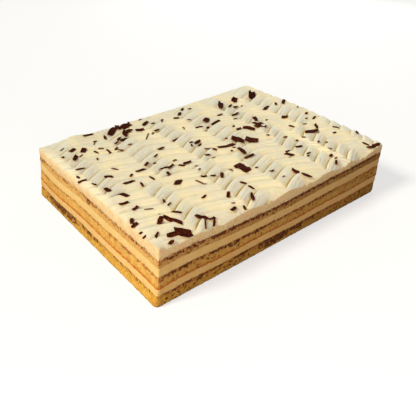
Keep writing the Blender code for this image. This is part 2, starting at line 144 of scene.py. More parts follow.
@dataclass(frozen=True)
class CakeShape:
    """Outline, layer levels and waves of the cake, as its solids have them."""

    top_length: float = 280 * MM
    top_width: float = 204 * MM
    height: float = 56 * MM
    gap: float = 0.3 * MM
    spread_left: float = 6.2 * MM
    spread_right: float = 1.0 * MM
    spread_front: float = 2.6 * MM
    spread_back: float = 4.2 * MM
    radius_top: float = 1.0 * MM
    radius_foot: float = 5.0 * MM
    foot_rounding: float = 2.0 * MM
    cap_inset: float = 13 * MM
    levels: dict[str, float] = field(default_factory=lambda: {
        "foot": 0.0,
        "sponge_bottom": 12.0 * MM,
        "cream_lower": 18.5 * MM,
        "sponge_middle": 29.4 * MM,
        "cream_middle": 37.5 * MM,
        "sponge_top": 44.8 * MM,
    })
    corner_lifts: tuple[float, float, float, float] = (1.4 * MM, 1.0 * MM, -3.0 * MM, 0.8 * MM)
    back_edge_dip: float = 1.8 * MM
    back_edge_from: float = 0.7
    back_lump: float = 2.8 * MM
    back_lump_place: float = 0.13
    back_lump_reach: float = 0.05
    back_lump_from: float = 0.88
    right_edge_rise: float = 2.6 * MM
    right_edge_from: float = 0.75
    front_edge_dip: float = 3.5 * MM
    front_edge_reach: float = 12 * MM
    left_edge_dip: float = 1.8 * MM
    left_edge_reach: float = 9 * MM
    edge_end: float = 0.1
    left_lift: float = 1.0 * MM
    left_lift_place: float = 0.11
    left_lift_reach: float = 0.10
    sag_depth: float = 1.9 * MM
    sag_place: float = 0.42
    sag_reach: float = 0.15
    sag_levels: Span = (16 * MM, 40 * MM)
    right_lift: float = 2.6 * MM
    right_lift_from: float = 0.6
    far_left_dip: float = 2.1 * MM
    far_left_place: float = 0.82
    far_left_reach: float = 0.15
    far_left_to: float = 0.4
    low_share: float = 0.4
    low_levels: Span = (10 * MM, 28 * MM)
    ripple_height: float = 0.35 * MM
    ripples_along: float = 3.3
    ripples_across: float = 2.1
    unevenness: tuple[Triple, ...] = (
        (9 * MM, 0.40 * MM, 3.0), (3.4 * MM, 0.32 * MM, 8.0), (1.8 * MM, 0.18 * MM, 14.0))

    @property
    def left(self) -> float:
        """Place of the top's left edge."""
        return (self.spread_left - self.spread_right - self.top_length) / 2

    @property
    def front(self) -> float:
        """Place of the top's front edge."""
        return (self.spread_front - self.spread_back - self.top_width) / 2

    def edges(self, height: np.ndarray, inset: float = 0.0) -> tuple[np.ndarray, ...]:
        """Find the four sides at a height.

        Args:
            height: Height above the table.
            inset: How far inside the sides to stay.

        Returns:
            Low x, high x, low y and high y.
        """
        depth = np.clip(1 - height / self.height, 0, 1) ** 2
        return (self.left - self.spread_left * depth + inset,
                self.left + self.top_length + self.spread_right * depth - inset,
                self.front - self.spread_front * depth + inset,
                self.front + self.top_width + self.spread_back * depth - inset)

    def radius(self, height: np.ndarray) -> np.ndarray:
        """Radius of the upright corners at a height."""
        depth = np.clip(1 - height / self.height, 0, 1)
        return self.radius_top + (self.radius_foot - self.radius_top) * depth ** 3

    def wave(self, x: np.ndarray, y: np.ndarray, level: float) -> np.ndarray:
        """How far a seam of a named level dips or lifts at a place.

        Args:
            x: Places along the cake.
            y: Places across it.
            level: The seam's own height.

        Returns:
            One height for each place.
        """
        along = (x - self.left) / self.top_length
        across = (y - self.front) / self.top_width
        sag = self.sag_depth * smooth(*self.sag_levels, level)
        sag = sag * bell(along, self.sag_place, self.sag_reach)
        left = self.left_lift * bell(along, self.left_lift_place, self.left_lift_reach)
        right = self.right_lift * smooth(self.right_lift_from, 1.0, along)
        far_left = self.far_left_dip * bell(across, self.far_left_place, self.far_left_reach)
        far_left = far_left * smooth(self.far_left_to, 0.0, along)
        turns = self.ripples_along * along + self.ripples_across * across
        follow = self.low_share + (1 - self.low_share) * smooth(*self.low_levels, level)
        return ((left + right - far_left) * follow - sag
                + self.ripple_height * np.sin(2 * math.pi * turns))

    def seam(self, x: np.ndarray, y: np.ndarray, level: float) -> np.ndarray:
        """Height of a seam with the small unevenness of real food.

        Args:
            x: Places along the cake.
            y: Places across it.
            level: The seam's own height.

        Returns:
            One height for each place.
        """
        points = np.column_stack([x, y, np.full(len(x), level)])
        small = sum(height * grain(points, size, seed) for size, height, seed in self.unevenness)
        return level + self.wave(x, y, level) + small

    def between_ends(self, share: np.ndarray) -> np.ndarray:
        """1 along an edge, easing to 0 at both its ends."""
        return smooth(0.0, self.edge_end, share) * smooth(1.0, 1 - self.edge_end, share)

    def ridge_top(self, along: np.ndarray, across: np.ndarray) -> np.ndarray:
        """Height of the comb's ridge tops.

        Args:
            along: Places from the top's left end.
            across: Places from the top's front edge.

        Returns:
            One height for each place.
        """
        u = np.clip(along / self.top_length, 0, 1)
        v = np.clip(across / self.top_width, 0, 1)
        front_left, front_right, back_left, back_right = self.corner_lifts
        front = front_left * (1 - u) + front_right * u
        back = back_left * (1 - u) + back_right * u
        dip = self.back_edge_dip * smooth(self.back_edge_from, 1.0, v) * np.sin(math.pi * u)
        rise = self.right_edge_rise * smooth(self.right_edge_from, 1.0, u) * np.sin(math.pi * v)
        lump = self.back_lump * bell(u, self.back_lump_place, self.back_lump_reach)
        lump = lump * smooth(self.back_lump_from, 1.0, v)
        at_front = np.clip(1 - v * self.top_width / self.front_edge_reach, 0, 1) ** 2
        at_left = np.clip(1 - u * self.top_length / self.left_edge_reach, 0, 1) ** 2
        pulled = (self.front_edge_dip * at_front * self.between_ends(u)
                  + self.left_edge_dip * at_left * self.between_ends(v))
        return self.height + front * (1 - v) + back * v - dip + rise + lump - pulled


@dataclass(frozen=True)
class RimStations:
    """Places round the outline, anticlockwise from the front right corner."""

    corner: np.ndarray
    share: np.ndarray

    @classmethod
    def spaced(cls, cake: CakeShape, spacing: float, corner_steps: int) -> "RimStations":
        """Lay stations evenly along the sides and round the corners.

        Args:
            cake: The cake's shape.
            spacing: Distance between stations on the straight sides.
            corner_steps: Number of stations round each corner.

        Returns:
            The stations.
        """
        corners: list[int] = []
        shares: list[float] = []
        for corner in range(SIDES):
            length = cake.top_width if corner % 2 == 0 else cake.top_length
            steps = round(length / spacing)
            shares += [step / corner_steps for step in range(corner_steps)]
            shares += [1 + step / steps for step in range(steps)]
            corners += [corner] * (corner_steps + steps)
        return cls(np.array(corners), np.array(shares))

    @property
    def normals(self) -> np.ndarray:
        """Outward direction at each station."""
        angle = np.radians(90 * (self.corner - 1 + np.minimum(self.share, 1.0)))
        return np.stack([np.cos(angle), np.sin(angle)], axis=-1)

    def places(self, cake: CakeShape, height: np.ndarray, inset: float) -> np.ndarray:
        """Find the outline at a height.

        Args:
            cake: The cake's shape.
            height: One height for each station.
            inset: How far inside the outline to stay.

        Returns:
            One x and y for each station.
        """
        height = np.broadcast_to(height, self.share.shape)
        radius = cake.radius(height)
        low_x, high_x, low_y, high_y = cake.edges(height, inset)
        x_of = np.stack([high_x - radius, high_x - radius, low_x + radius, low_x + radius])
        y_of = np.stack([low_y + radius, high_y - radius, high_y - radius, low_y + radius])
        index = np.arange(len(self.corner))
        ahead = (self.corner + 1) % SIDES
        run = np.clip(self.share - 1, 0, 1)
        x = x_of[self.corner, index] * (1 - run) + x_of[ahead, index] * run
        y = y_of[self.corner, index] * (1 - run) + y_of[ahead, index] * run
        return np.stack([x, y], axis=-1) + self.normals * radius[:, None]

    @property
    def side(self) -> np.ndarray:
        """Number of the side that each station belongs to, with half of each corner."""
        return np.where(self.share < 0.5, (self.corner - 1) % SIDES, self.corner)

    @property
    def along_side(self) -> np.ndarray:
        """Share of the side, from its left end as seen from outside."""
        return np.where(self.share < 0.5, 1.0, np.clip(self.share - 1, 0, 1))


@dataclass(frozen=True)
class Comb:
    """The zigzag that a toothed comb drew in the top cream."""

    cake: CakeShape
    pitch: float = 14.3 * MM
    depth: float = 3.6 * MM
    rise: float = 0.16
    fall_power: float = 2.3
    swing: float = 5.2 * MM
    first_crease: float = 10.0 * MM
    front_turns: tuple[float, ...] = (-22, 2, 38, 57, 93, 117, 140, 167, 195, 217, 227, 246,
                                      270, 292, 320)
    back_turns: tuple[float, ...] = (-25, -8, 8, 28, 62, 87, 112, 134, 154, 182, 204, 224, 246,
                                     270, 292, 320)
    turn_rounding: float = 0.55
    climb_start: float = 0.2
    climb_end: float = 0.7
    pass_seam: Span = (74 * MM, 90 * MM)
    right_end_loss: float = 0.55
    right_end_stretch: Span = (245 * MM, 285 * MM)
    back_edge_loss: float = 0.85
    back_edge_stretch: Span = (168 * MM, 198 * MM)
    far_left_loss: float = 0.6
    far_left_rows: Span = (150 * MM, 190 * MM)
    far_left_stretch: Span = (20 * MM, 80 * MM)
    row_rounds: int = 24

    def legs(self, along: np.ndarray, turns: tuple[float, ...]) -> tuple[np.ndarray, np.ndarray]:
        """Find the straight run of the zigzag that each place is on.

        Args:
            along: Places from the top's left end, in metres.
            turns: Places of the turns in millimetres.

        Returns:
            The number of each place's run, and the share of it that lies behind.
        """
        marks = np.array(turns) * MM
        leg = np.clip(np.searchsorted(marks, along, side="left") - 1, 0, len(turns) - 2)
        share = np.clip((along - marks[leg]) / (marks[leg + 1] - marks[leg]), 0, 1)
        return leg, share

    def zigzag(self, along: np.ndarray, turns: tuple[float, ...]) -> np.ndarray:
        """Sideways swing of the comb: a hard low turn and a rounded high turn.

        Args:
            along: Places from the top's left end.
            turns: Places of the turns in millimetres.

        Returns:
            The swing at each place.
        """
        leg, share = self.legs(along, turns)
        straight = (1 - self.turn_rounding) * share
        rising = straight + self.turn_rounding * np.sin(share * math.pi / 2)
        falling = straight + self.turn_rounding * (1 - np.cos(share * math.pi / 2))
        return self.swing * np.where(leg % 2 == 0, 2 * rising - 1, 1 - 2 * falling)

    def swing_at(self, along: np.ndarray, row: np.ndarray) -> np.ndarray:
        """Swing at a place; the comb made one pass in front and one behind.

        Args:
            along: Places from the top's left end.
            row: Comb rows.

        Returns:
            How far the comb stood aside of its row.
        """
        back = smooth(*self.pass_seam, row)
        return (self.zigzag(along, self.front_turns) * (1 - back)
                + self.zigzag(along, self.back_turns) * back)

    def climb(self, along: np.ndarray, row: np.ndarray) -> np.ndarray:
        """Tell the runs where the comb swung back from the others.

        Args:
            along: Places from the top's left end.
            row: Comb rows.

        Returns:
            1 in the middle of such a run, 0 on the others.
        """
        back = smooth(*self.pass_seam, row)
        total = np.zeros(np.broadcast(along, row).shape)
        for turns, weight in ((self.front_turns, 1 - back), (self.back_turns, back)):
            leg, share = self.legs(along, turns)
            inner = smooth(0.0, self.climb_start, share) * smooth(1.0, self.climb_end, share)
            total = total + weight * np.where(leg % 2 == 0, inner, 0.0)
        return total

    def phase(self, row: np.ndarray) -> np.ndarray:
        """Share of the pitch in front of the crease behind a place."""
        return ((self.first_crease - row) / self.pitch) % 1.0

    def tooth(self, phase: np.ndarray) -> np.ndarray:
        """Ridge profile over one pitch: a steep rise out of the crease, a long fall.

        Args:
            phase: Share of the pitch.

        Returns:
            From 0 in the crease to 1 on the ridge.
        """
        steep = np.sin(np.clip(phase / self.rise, 0, 1) * math.pi / 2)
        fallen = np.clip((phase - self.rise) / (1 - self.rise), 0, 1)
        return np.where(phase < self.rise, steep, 1 - fallen ** self.fall_power)

    def depth_at(self, along: np.ndarray, row: np.ndarray) -> np.ndarray:
        """Depth of the comb, which fades at the right end, the back and the far left.

        Args:
            along: Places from the top's left end.
            row: Comb rows.

        Returns:
            One depth for each place.
        """
        right_end = 1 - self.right_end_loss * smooth(*self.right_end_stretch, along)
        back_edge = 1 - self.back_edge_loss * smooth(*self.back_edge_stretch, row)
        far_left = 1 - smooth(*self.far_left_stretch, along)
        corner = self.far_left_loss * smooth(*self.far_left_rows, row) * far_left
        return self.depth * right_end * back_edge * (1 - corner)

    def height(self, along: np.ndarray, row: np.ndarray) -> np.ndarray:
        """Height of the cream where a comb row crosses a place along the cake.

        Args:
            along: Places from the top's left end.
            row: Comb rows.

        Returns:
            One height for each place.
        """
        across = row + self.swing_at(along, row)
        hollow = 1 - self.tooth(self.phase(row))
        return self.cake.ridge_top(along, across) - self.depth_at(along, row) * hollow

    def row_at(self, x: np.ndarray, y: np.ndarray) -> np.ndarray:
        """Find the comb row that passes a place, closing in on it in rounds.

        Args:
            x: Places along the cake.
            y: Places across it.

        Returns:
            One row for each place.
        """
        along = np.asarray(x, float) - self.cake.left
        across = np.asarray(y, float) - self.cake.front
        row = across
        for _ in range(self.row_rounds):
            row = (row + across - self.swing_at(along, row)) / 2
        return row

    def cream_height(self, x: np.ndarray, y: np.ndarray) -> np.ndarray:
        """Height of the top cream at a place."""
        return self.height(np.asarray(x, float) - self.cake.left, self.row_at(x, y))


# Mesh tools -------------------------------------------------------------------


def start_clean() -> None:
    """Leave edit mode and deselect everything."""
    if bpy.context.object is not None and bpy.context.object.mode != "OBJECT":
        bpy.ops.object.mode_set(mode="OBJECT")
    bpy.ops.object.select_all(action="DESELECT")


def edit(piece: Piece) -> None:
    """Open a piece in edit mode with nothing selected in it.

    Args:
        piece: The piece.
    """
    start_clean()
    piece.select_set(True)
    bpy.context.view_layer.objects.active = piece
    bpy.ops.object.mode_set(mode="EDIT")
    bpy.ops.mesh.select_mode(type="EDGE")
    bpy.ops.mesh.select_all(action="DESELECT")


def places_of(piece: Piece) -> np.ndarray:
    """Read a piece's points.

    Args:
        piece: The piece.

    Returns:
        One row for each point.
    """
    flat = np.empty(len(piece.data.vertices) * 3, np.float32)
    piece.data.vertices.foreach_get("co", flat)
    return flat.reshape(-1, 3)


def put_places(mesh: bpy.types.Mesh, places: np.ndarray) -> None:
    """Move a mesh's points to new places."""
    mesh.vertices.foreach_set("co", np.ascontiguousarray(places, np.float32).ravel())
    mesh.update()


def add_attribute(mesh: bpy.types.Mesh, name: str, values: np.ndarray) -> None:
    """Store one number, or three, for each point of a mesh.

    Args:
        mesh: The mesh.
        name: Name that materials read.
        values: One row for each point.
    """
    kind, key = ("FLOAT", "value") if values.ndim == 1 else ("FLOAT_VECTOR", "vector")
    layer = mesh.attributes.new(name, kind, "POINT")
    layer.data.foreach_set(key, np.ascontiguousarray(values, np.float32).ravel())


def hang_rings(piece: Piece, count: int) -> None:
    """Extrude a sheet's rim straight down, a metre for each ring, and close it below.

    Args:
        piece: The sheet.
        count: Number of rings. They are moved to their real places afterwards.
    """
    edit(piece)
    bpy.ops.mesh.select_all(action="SELECT")
    bpy.ops.mesh.region_to_loop()
    for _ in range(count):
        bpy.ops.mesh.extrude_region_move(TRANSFORM_OT_translate={"value": (0, 0, -1)})
    bpy.ops.mesh.edge_face_add()
    bpy.ops.object.mode_set(mode="OBJECT")


def face_outwards() -> None:
    """In edit mode, turn every face outwards."""
    bpy.ops.mesh.select_all(action="SELECT")
    bpy.ops.mesh.normals_make_consistent(inside=False)
    bpy.ops.mesh.select_all(action="DESELECT")


def dress(piece: Piece, angle: float, material: Material) -> None:
    """Shade a piece smooth and give it its material.

    Args:
        piece: The piece.
        angle: Edges sharper than this many degrees stay sharp.
        material: Its only material.
    """
    start_clean()
    piece.select_set(True)
    bpy.context.view_layer.objects.active = piece
    bpy.ops.object.shade_smooth_by_angle(angle=math.radians(angle))
    piece.data.materials.clear()
    piece.data.materials.append(material)


# Materials --------------------------------------------------------------------


# Crumbs that cling to a cut side, and the skin's specks.
CRUMBS = srgb(176, 104, 50)
CRUMB_SCALE = 420.0
CRUMB_SHARE = 0.8
CRUMB_DENSITY = 0.72

# Places of the Mix node's colour sockets.
MIX_FIRST = 6
MIX_SECOND = 7
MIX_RESULT = 2


class NodeSheet:
    """A node tree with short ways to add and join its nodes."""

    def __init__(self, tree: bpy.types.NodeTree) -> None:
        """Hold a tree."""
        self.tree = tree

    def add(self, kind: str, settings: dict | None = None, **inputs: object) -> bpy.types.Node:
        """Add a node.

        Args:
            kind: The node's type name.
            settings: Properties to set on it.
            **inputs: Values or sockets for its inputs, with _ for a space in a name.

        Returns:
            The node.
        """
        node = self.tree.nodes.new(kind)
        for name, value in (settings or {}).items():
            setattr(node, name, value)
        self.fill(node, **inputs)
        return node

    def fill(self, node: bpy.types.Node, **inputs: object) -> None:
        """Feed a node's inputs by name, with _ for a space in a name."""
        for name, value in inputs.items():
            self.feed(node.inputs[name.replace("_", " ")], value)

    def feed(self, socket: Socket, value: object) -> None:
        """Give a socket a value, or link another socket to it.

        Args:
            socket: The socket to feed.
            value: A plain value or another node's output.
        """
        if isinstance(value, Socket):
            self.tree.links.new(value, socket)
        else:
            socket.default_value = value

    def maths(self, operation: str, first: object, second: object, clamp: bool = False) -> Socket:
        """Work out one value from two.

        Args:
            operation: The Math node's operation.
            first: A number or a socket.
            second: A number or a socket.
            clamp: Whether to keep the result from 0 to 1.

        Returns:
            The result's socket.
        """
        node = self.add("ShaderNodeMath", {"operation": operation, "use_clamp": clamp})
        self.feed(node.inputs[0], first)
        self.feed(node.inputs[1], second)
        return node.outputs[0]

    def times(self, first: object, second: object) -> Socket:
        """Multiply two values."""
        return self.maths("MULTIPLY", first, second)

    def plus(self, first: object, second: object) -> Socket:
        """Add two values."""
        return self.maths("ADD", first, second)

    def blend(self, first: object, second: object, share: float) -> Socket:
        """Add two patterns, the second with a share and the first with the rest."""
        return self.plus(self.times(first, 1 - share), self.times(second, share))

    def ramp(self, value: object, low: float, high: float) -> Socket:
        """Go smoothly from 0 to 1 as value passes low to high."""
        return self.add("ShaderNodeMapRange", {"interpolation_type": "SMOOTHSTEP"},
                        Value=value, From_Min=low, From_Max=high).outputs["Result"]

    def mix(self, share: object, first: object, second: object) -> Socket:
        """Mix two colours.

        Args:
            share: Share of the second colour.
            first: A colour or a socket.
            second: A colour or a socket.

        Returns:
            The mixed colour's socket.
        """
        node = self.add("ShaderNodeMix", {"data_type": "RGBA"})
        self.feed(node.inputs["Factor"], share)
        self.feed(node.inputs[MIX_FIRST], first)
        self.feed(node.inputs[MIX_SECOND], second)
        return node.outputs[MIX_RESULT]

    def place(self) -> Socket:
        """Read the place on the cake."""
        return self.add("ShaderNodeTexCoord").outputs["Object"]

    def noise(self, vector: object, scale: object, detail: float = 2.0) -> Socket:
        """Add a noise texture and return its value."""
        return self.add("ShaderNodeTexNoise", Vector=vector, Scale=scale, Detail=detail).outputs["Fac"]

    def stretched(self, vector: object, scale: Triple) -> Socket:
        """Scale a pattern's coordinates differently each way."""
        return self.add("ShaderNodeMapping", Vector=vector, Scale=scale).outputs["Vector"]

    def bump(self, height: object, strength: float, depth: float) -> Socket:
        """Turn a height pattern into the surface's normal."""
        return self.add("ShaderNodeBump", Strength=strength, Distance=depth,
                        Height=height).outputs["Normal"]

    def attribute(self, name: str, output: str = "Fac") -> Socket:
        """Read a mesh attribute."""
        return self.add("ShaderNodeAttribute", {"attribute_name": name}).outputs[output]

    def group(self, effect: bpy.types.NodeTree, **inputs: object) -> bpy.types.Node:
        """Place a node group with its own values."""
        return self.add("ShaderNodeGroup", {"node_tree": effect}, **inputs)


@dataclass(frozen=True)
class Pattern:
    """Noise of one scale, sharpened between two levels and weighed."""

    scale: float
    detail: float
    low: float
    high: float
    share: float = 1.0

    def on(self, sheet: NodeSheet, place: object) -> Socket:
        """Add the pattern's nodes and return its value."""
        sharp = sheet.ramp(sheet.noise(place, self.scale, self.detail), self.low, self.high)
        return sheet.times(sharp, self.share)


def new_effect(name: str, inputs: dict[str, float], outputs: tuple[str, ...]) -> NodeSheet:
    """Make a node group that starts from a place.

    Args:
        name: The group's name.
        inputs: Its number inputs and their defaults, beside the Vector.
        outputs: Its number outputs.

    Returns:
        The group's sheet, with its input and output nodes in place.
    """
    tree = bpy.data.node_groups.new(name, "ShaderNodeTree")
    tree.interface.new_socket("Vector", in_out="INPUT", socket_type="NodeSocketVector")
    for label, value in inputs.items():
        socket = tree.interface.new_socket(label, in_out="INPUT", socket_type="NodeSocketFloat")
        socket.default_value = value
    for label in outputs:
        tree.interface.new_socket(label, in_out="OUTPUT", socket_type="NodeSocketFloat")
    tree.nodes.new("NodeGroupInput")
    tree.nodes.new("NodeGroupOutput")
    return NodeSheet(tree)


def ends_of(sheet: NodeSheet) -> tuple[bpy.types.NodeOutputs, bpy.types.Node]:
    """Find what a group is given and the node that takes its results."""
    nodes = sheet.tree.nodes
    return nodes["Group Input"].outputs, nodes["Group Output"]


@dataclass
class Effects:
    """The surface effects that several finishes share, each built once."""

    pore_bend: float = 1.2 * MM
    pore_softness: float = 0.35
    pore_span: Span = (0.40, 0.14)
    pore_depth: float = 0.5
    fine_scale: float = 640.0
    wide_scale: float = 200.0
    wide_share: float = 0.35
    grain_span: Span = (0.38, 0.62)
    speck_scale: float = 1100.0
    speck_share: float = 0.2
    blot_reach: float = 0.23
    blot_span: Span = (0.64, 0.75)
    full_density: float = 0.25
    drag_stretch: Triple = (1.0, 1.0, 0.55)
    drag_span: Span = (0.35, 0.65)
    lump_scale: float = 160.0
    lump_share: float = 0.6
    crumb: bpy.types.NodeTree = field(init=False)
    stains: bpy.types.NodeTree = field(init=False)
    cut_marks: bpy.types.NodeTree = field(init=False)

    def __post_init__(self) -> None:
        """Build the groups."""
        self.crumb = self.make_crumb()
        self.stains = self.make_stains()
        self.cut_marks = self.make_cut_marks()

    def make_crumb(self) -> bpy.types.NodeTree:
        """Sponge crumb: open pores between lighter walls.

        Returns:
            A group with Pores, Grain and Height.
        """
        sheet = new_effect("crumb", {"Pore Scale": 600.0}, ("Pores", "Grain", "Height"))
        given, end = ends_of(sheet)
        warp = sheet.add("ShaderNodeTexNoise", Vector=given["Vector"], Scale=given["Pore Scale"],
                         Detail=1.0)
        bent = sheet.add("ShaderNodeVectorMath", {"operation": "MULTIPLY_ADD"})
        for socket, value in zip(bent.inputs, (warp.outputs["Color"], (self.pore_bend,) * 3,
                                               given["Vector"])):
            sheet.feed(socket, value)
        cells = sheet.add("ShaderNodeTexVoronoi", {"feature": "SMOOTH_F1"}, Vector=bent.outputs[0],
                          Scale=given["Pore Scale"], Smoothness=self.pore_softness)
        pores = sheet.ramp(cells.outputs["Distance"], *self.pore_span)
        fine = sheet.noise(bent.outputs[0], self.fine_scale, detail=3.0)
        wide = sheet.noise(given["Vector"], self.wide_scale)
        total = sheet.blend(fine, wide, self.wide_share)
        height = sheet.maths("SUBTRACT", total, sheet.times(pores, self.pore_depth))
        sheet.fill(end, Pores=pores, Grain=sheet.ramp(total, *self.grain_span), Height=height)
        return sheet.tree

    def make_stains(self) -> bpy.types.NodeTree:
        """Irregular blots, as dense as they are asked to be.

        Returns:
            A group with a Mask.
        """
        sheet = new_effect("stains", {"Density": 0.0, "Blot Scale": 360.0}, ("Mask",))
        given, end = ends_of(sheet)
        blots = sheet.noise(given["Vector"], given["Blot Scale"], detail=1.0)
        specks = sheet.noise(given["Vector"], self.speck_scale, detail=1.0)
        cloud = sheet.blend(blots, specks, self.speck_share)
        reach = sheet.plus(cloud, sheet.times(given["Density"], self.blot_reach))
        asked = sheet.ramp(given["Density"], 0.0, self.full_density)
        sheet.fill(end, Mask=sheet.times(sheet.ramp(reach, *self.blot_span), asked))
        return sheet.tree

    def make_cut_marks(self) -> bpy.types.NodeTree:
        """Faint drag lines that a knife leaves down a cut side.

        Returns:
            A group with Lines and Height.
        """
        sheet = new_effect("cut_marks", {"Line Scale": 700.0}, ("Lines", "Height"))
        given, end = ends_of(sheet)
        lines = sheet.noise(sheet.stretched(given["Vector"], self.drag_stretch), given["Line Scale"])
        lumps = sheet.noise(given["Vector"], self.lump_scale)
        sheet.fill(end, Lines=sheet.ramp(lines, *self.drag_span),
                   Height=sheet.blend(lines, lumps, self.lump_share))
        return sheet.tree


def new_material(name: str) -> tuple[Material, NodeSheet, bpy.types.Node]:
    """Make a material with an empty Principled shader.

    Args:
        name: The material's name.

    Returns:
        The material, its node sheet and its Principled shader.
    """
    material = bpy.data.materials.new(name)
    material.use_nodes = True
    return material, NodeSheet(material.node_tree), material.node_tree.nodes["Principled BSDF"]


def add_crumbs(sheet: NodeSheet, effects: Effects, place: object, density: object,
               tone: object) -> Socket:
    """Strew a cream's cut side with crumbs pulled off the sponge below, as dense as asked."""
    crumbs = sheet.group(effects.stains, Vector=place, Density=density, Blot_Scale=CRUMB_SCALE)
    return sheet.mix(sheet.times(crumbs.outputs["Mask"], CRUMB_SHARE), tone, CRUMBS)


@dataclass(frozen=True)
class SpongeFinish:
    """A soaked sponge: mottled crumb, a darker wet foot, dark coffee stains, and painted shade in its
    pores and along its sides.
    """

    name: str
    pale: Colour
    deep: Colour
    soaked: Colour
    soaked_to: float
    skin_from: float
    # Dark crust, for the burnt stains and for the painted shade in the pores.
    crust_and_pore_shade: Colour = srgb(68, 32, 14)
    skin: Colour = srgb(172, 104, 54)
    painted_shade: Colour = srgb(112, 76, 34)
    pore_scale: float = 620.0
    painted_pore_shade: float = 0.18
    pores_closed: float = 0.6
    clouds: Pattern = Pattern(55.0, 2.0, 0.4, 0.7, 0.45)
    soaked_ragged: float = 0.14
    soaked_span: Span = (0.22, -0.06)
    painted_shade_scale: float = 240.0
    painted_shade_patches: float = 0.6
    painted_shade_least: float = 0.7
    skin_fray_scale: float = 260.0
    skin_fray: float = 0.5
    skin_neat: float = 0.13
    skin_span: Span = (0.12, 0.40)
    skin_tint: float = 0.15
    skin_patches: Pattern = Pattern(75.0, 2.0, 0.34, 0.66, 0.8)
    skin_least: float = 0.55
    skin_density: float = 0.95
    skin_share: float = 0.85
    stain_tint: float = 0.3
    stain_share: float = 0.92
    burnt_share: float = 0.35
    roughness: float = 0.85
    wet_gloss: float = 0.25
    bump: float = 0.7
    bump_depth: float = 0.9 * MM
    specular: float = 0.12

    def make(self, effects: Effects) -> Material:
        """Build the material.

        Args:
            effects: The shared surface effects.

        Returns:
            The material.
        """
        material, sheet, shader = new_material(self.name)
        place = sheet.place()
        crumb = sheet.group(effects.crumb, Vector=place, Pore_Scale=self.pore_scale)
        grains, neat = crumb.outputs["Grain"], sheet.attribute("neat")
        tone = sheet.mix(grains, self.deep, self.pale)
        tone = sheet.mix(self.clouds.on(sheet, place), tone, self.deep)
        ragged = sheet.plus(sheet.attribute("rise"), sheet.times(grains, self.soaked_ragged))
        wet = sheet.ramp(ragged, *(self.soaked_to + step for step in self.soaked_span))
        tone = sheet.mix(wet, tone, self.soaked)
        # Painted shade along the sides, darker towards the front's right end, broken into patches.
        patchy = sheet.times(sheet.noise(place, self.painted_shade_scale), self.painted_shade_patches)
        patchy = sheet.plus(patchy, self.painted_shade_least)
        tone = sheet.mix(sheet.maths("MULTIPLY", sheet.attribute("painted_shade"), patchy, clamp=True),
                         tone, self.painted_shade)
        # Painted shade in the pores, in the crust colour, less on the neat sides.
        closed = sheet.plus(sheet.times(neat, -self.pores_closed), 1.0)
        pores = sheet.times(sheet.times(crumb.outputs["Pores"], closed), self.painted_pore_shade)
        tone = sheet.mix(pores, tone, self.crust_and_pore_shade)
        tone = self.add_skin(sheet, effects, place, tone)
        stained = sheet.attribute("stain")
        tone = sheet.mix(sheet.times(stained, self.stain_tint), tone, self.skin)
        burnt = sheet.mix(sheet.times(grains, self.burnt_share), self.crust_and_pore_shade, self.skin)
        blots = sheet.group(effects.stains, Vector=place, Density=stained).outputs["Mask"]
        tone = sheet.mix(sheet.times(blots, self.stain_share), tone, burnt)
        sheet.fill(shader, Base_Color=tone, Specular_IOR_Level=self.specular,
                   Roughness=sheet.plus(sheet.times(wet, -self.wet_gloss), self.roughness),
                   Normal=sheet.bump(crumb.outputs["Height"], self.bump, self.bump_depth))
        return material

    def add_skin(self, sheet: NodeSheet, effects: Effects, place: object, tone: object) -> Socket:
        """Add the baked skin, a frayed brown line along the sponge's upper edge.

        Args:
            sheet: The material's sheet.
            effects: The shared surface effects.
            place: The place on the cake.
            tone: The colour so far.

        Returns:
            The colour with the skin.
        """
        fray = sheet.noise(place, self.skin_fray_scale, detail=1.0)
        fray = sheet.times(fray, self.skin_fray)
        frayed = sheet.maths("SUBTRACT", sheet.plus(sheet.attribute("rise"), fray),
                             sheet.times(sheet.attribute("neat"), self.skin_neat))
        upper = sheet.ramp(frayed, *(self.skin_from + step for step in self.skin_span))
        tone = sheet.mix(sheet.times(upper, self.skin_tint), tone, self.skin)
        heavy = sheet.plus(self.skin_patches.on(sheet, place), self.skin_least)
        density = sheet.times(sheet.times(upper, heavy), self.skin_density)
        blots = sheet.group(effects.stains, Vector=place, Density=density, Blot_Scale=CRUMB_SCALE)
        return sheet.mix(sheet.times(blots.outputs["Mask"], self.skin_share), tone, self.skin)


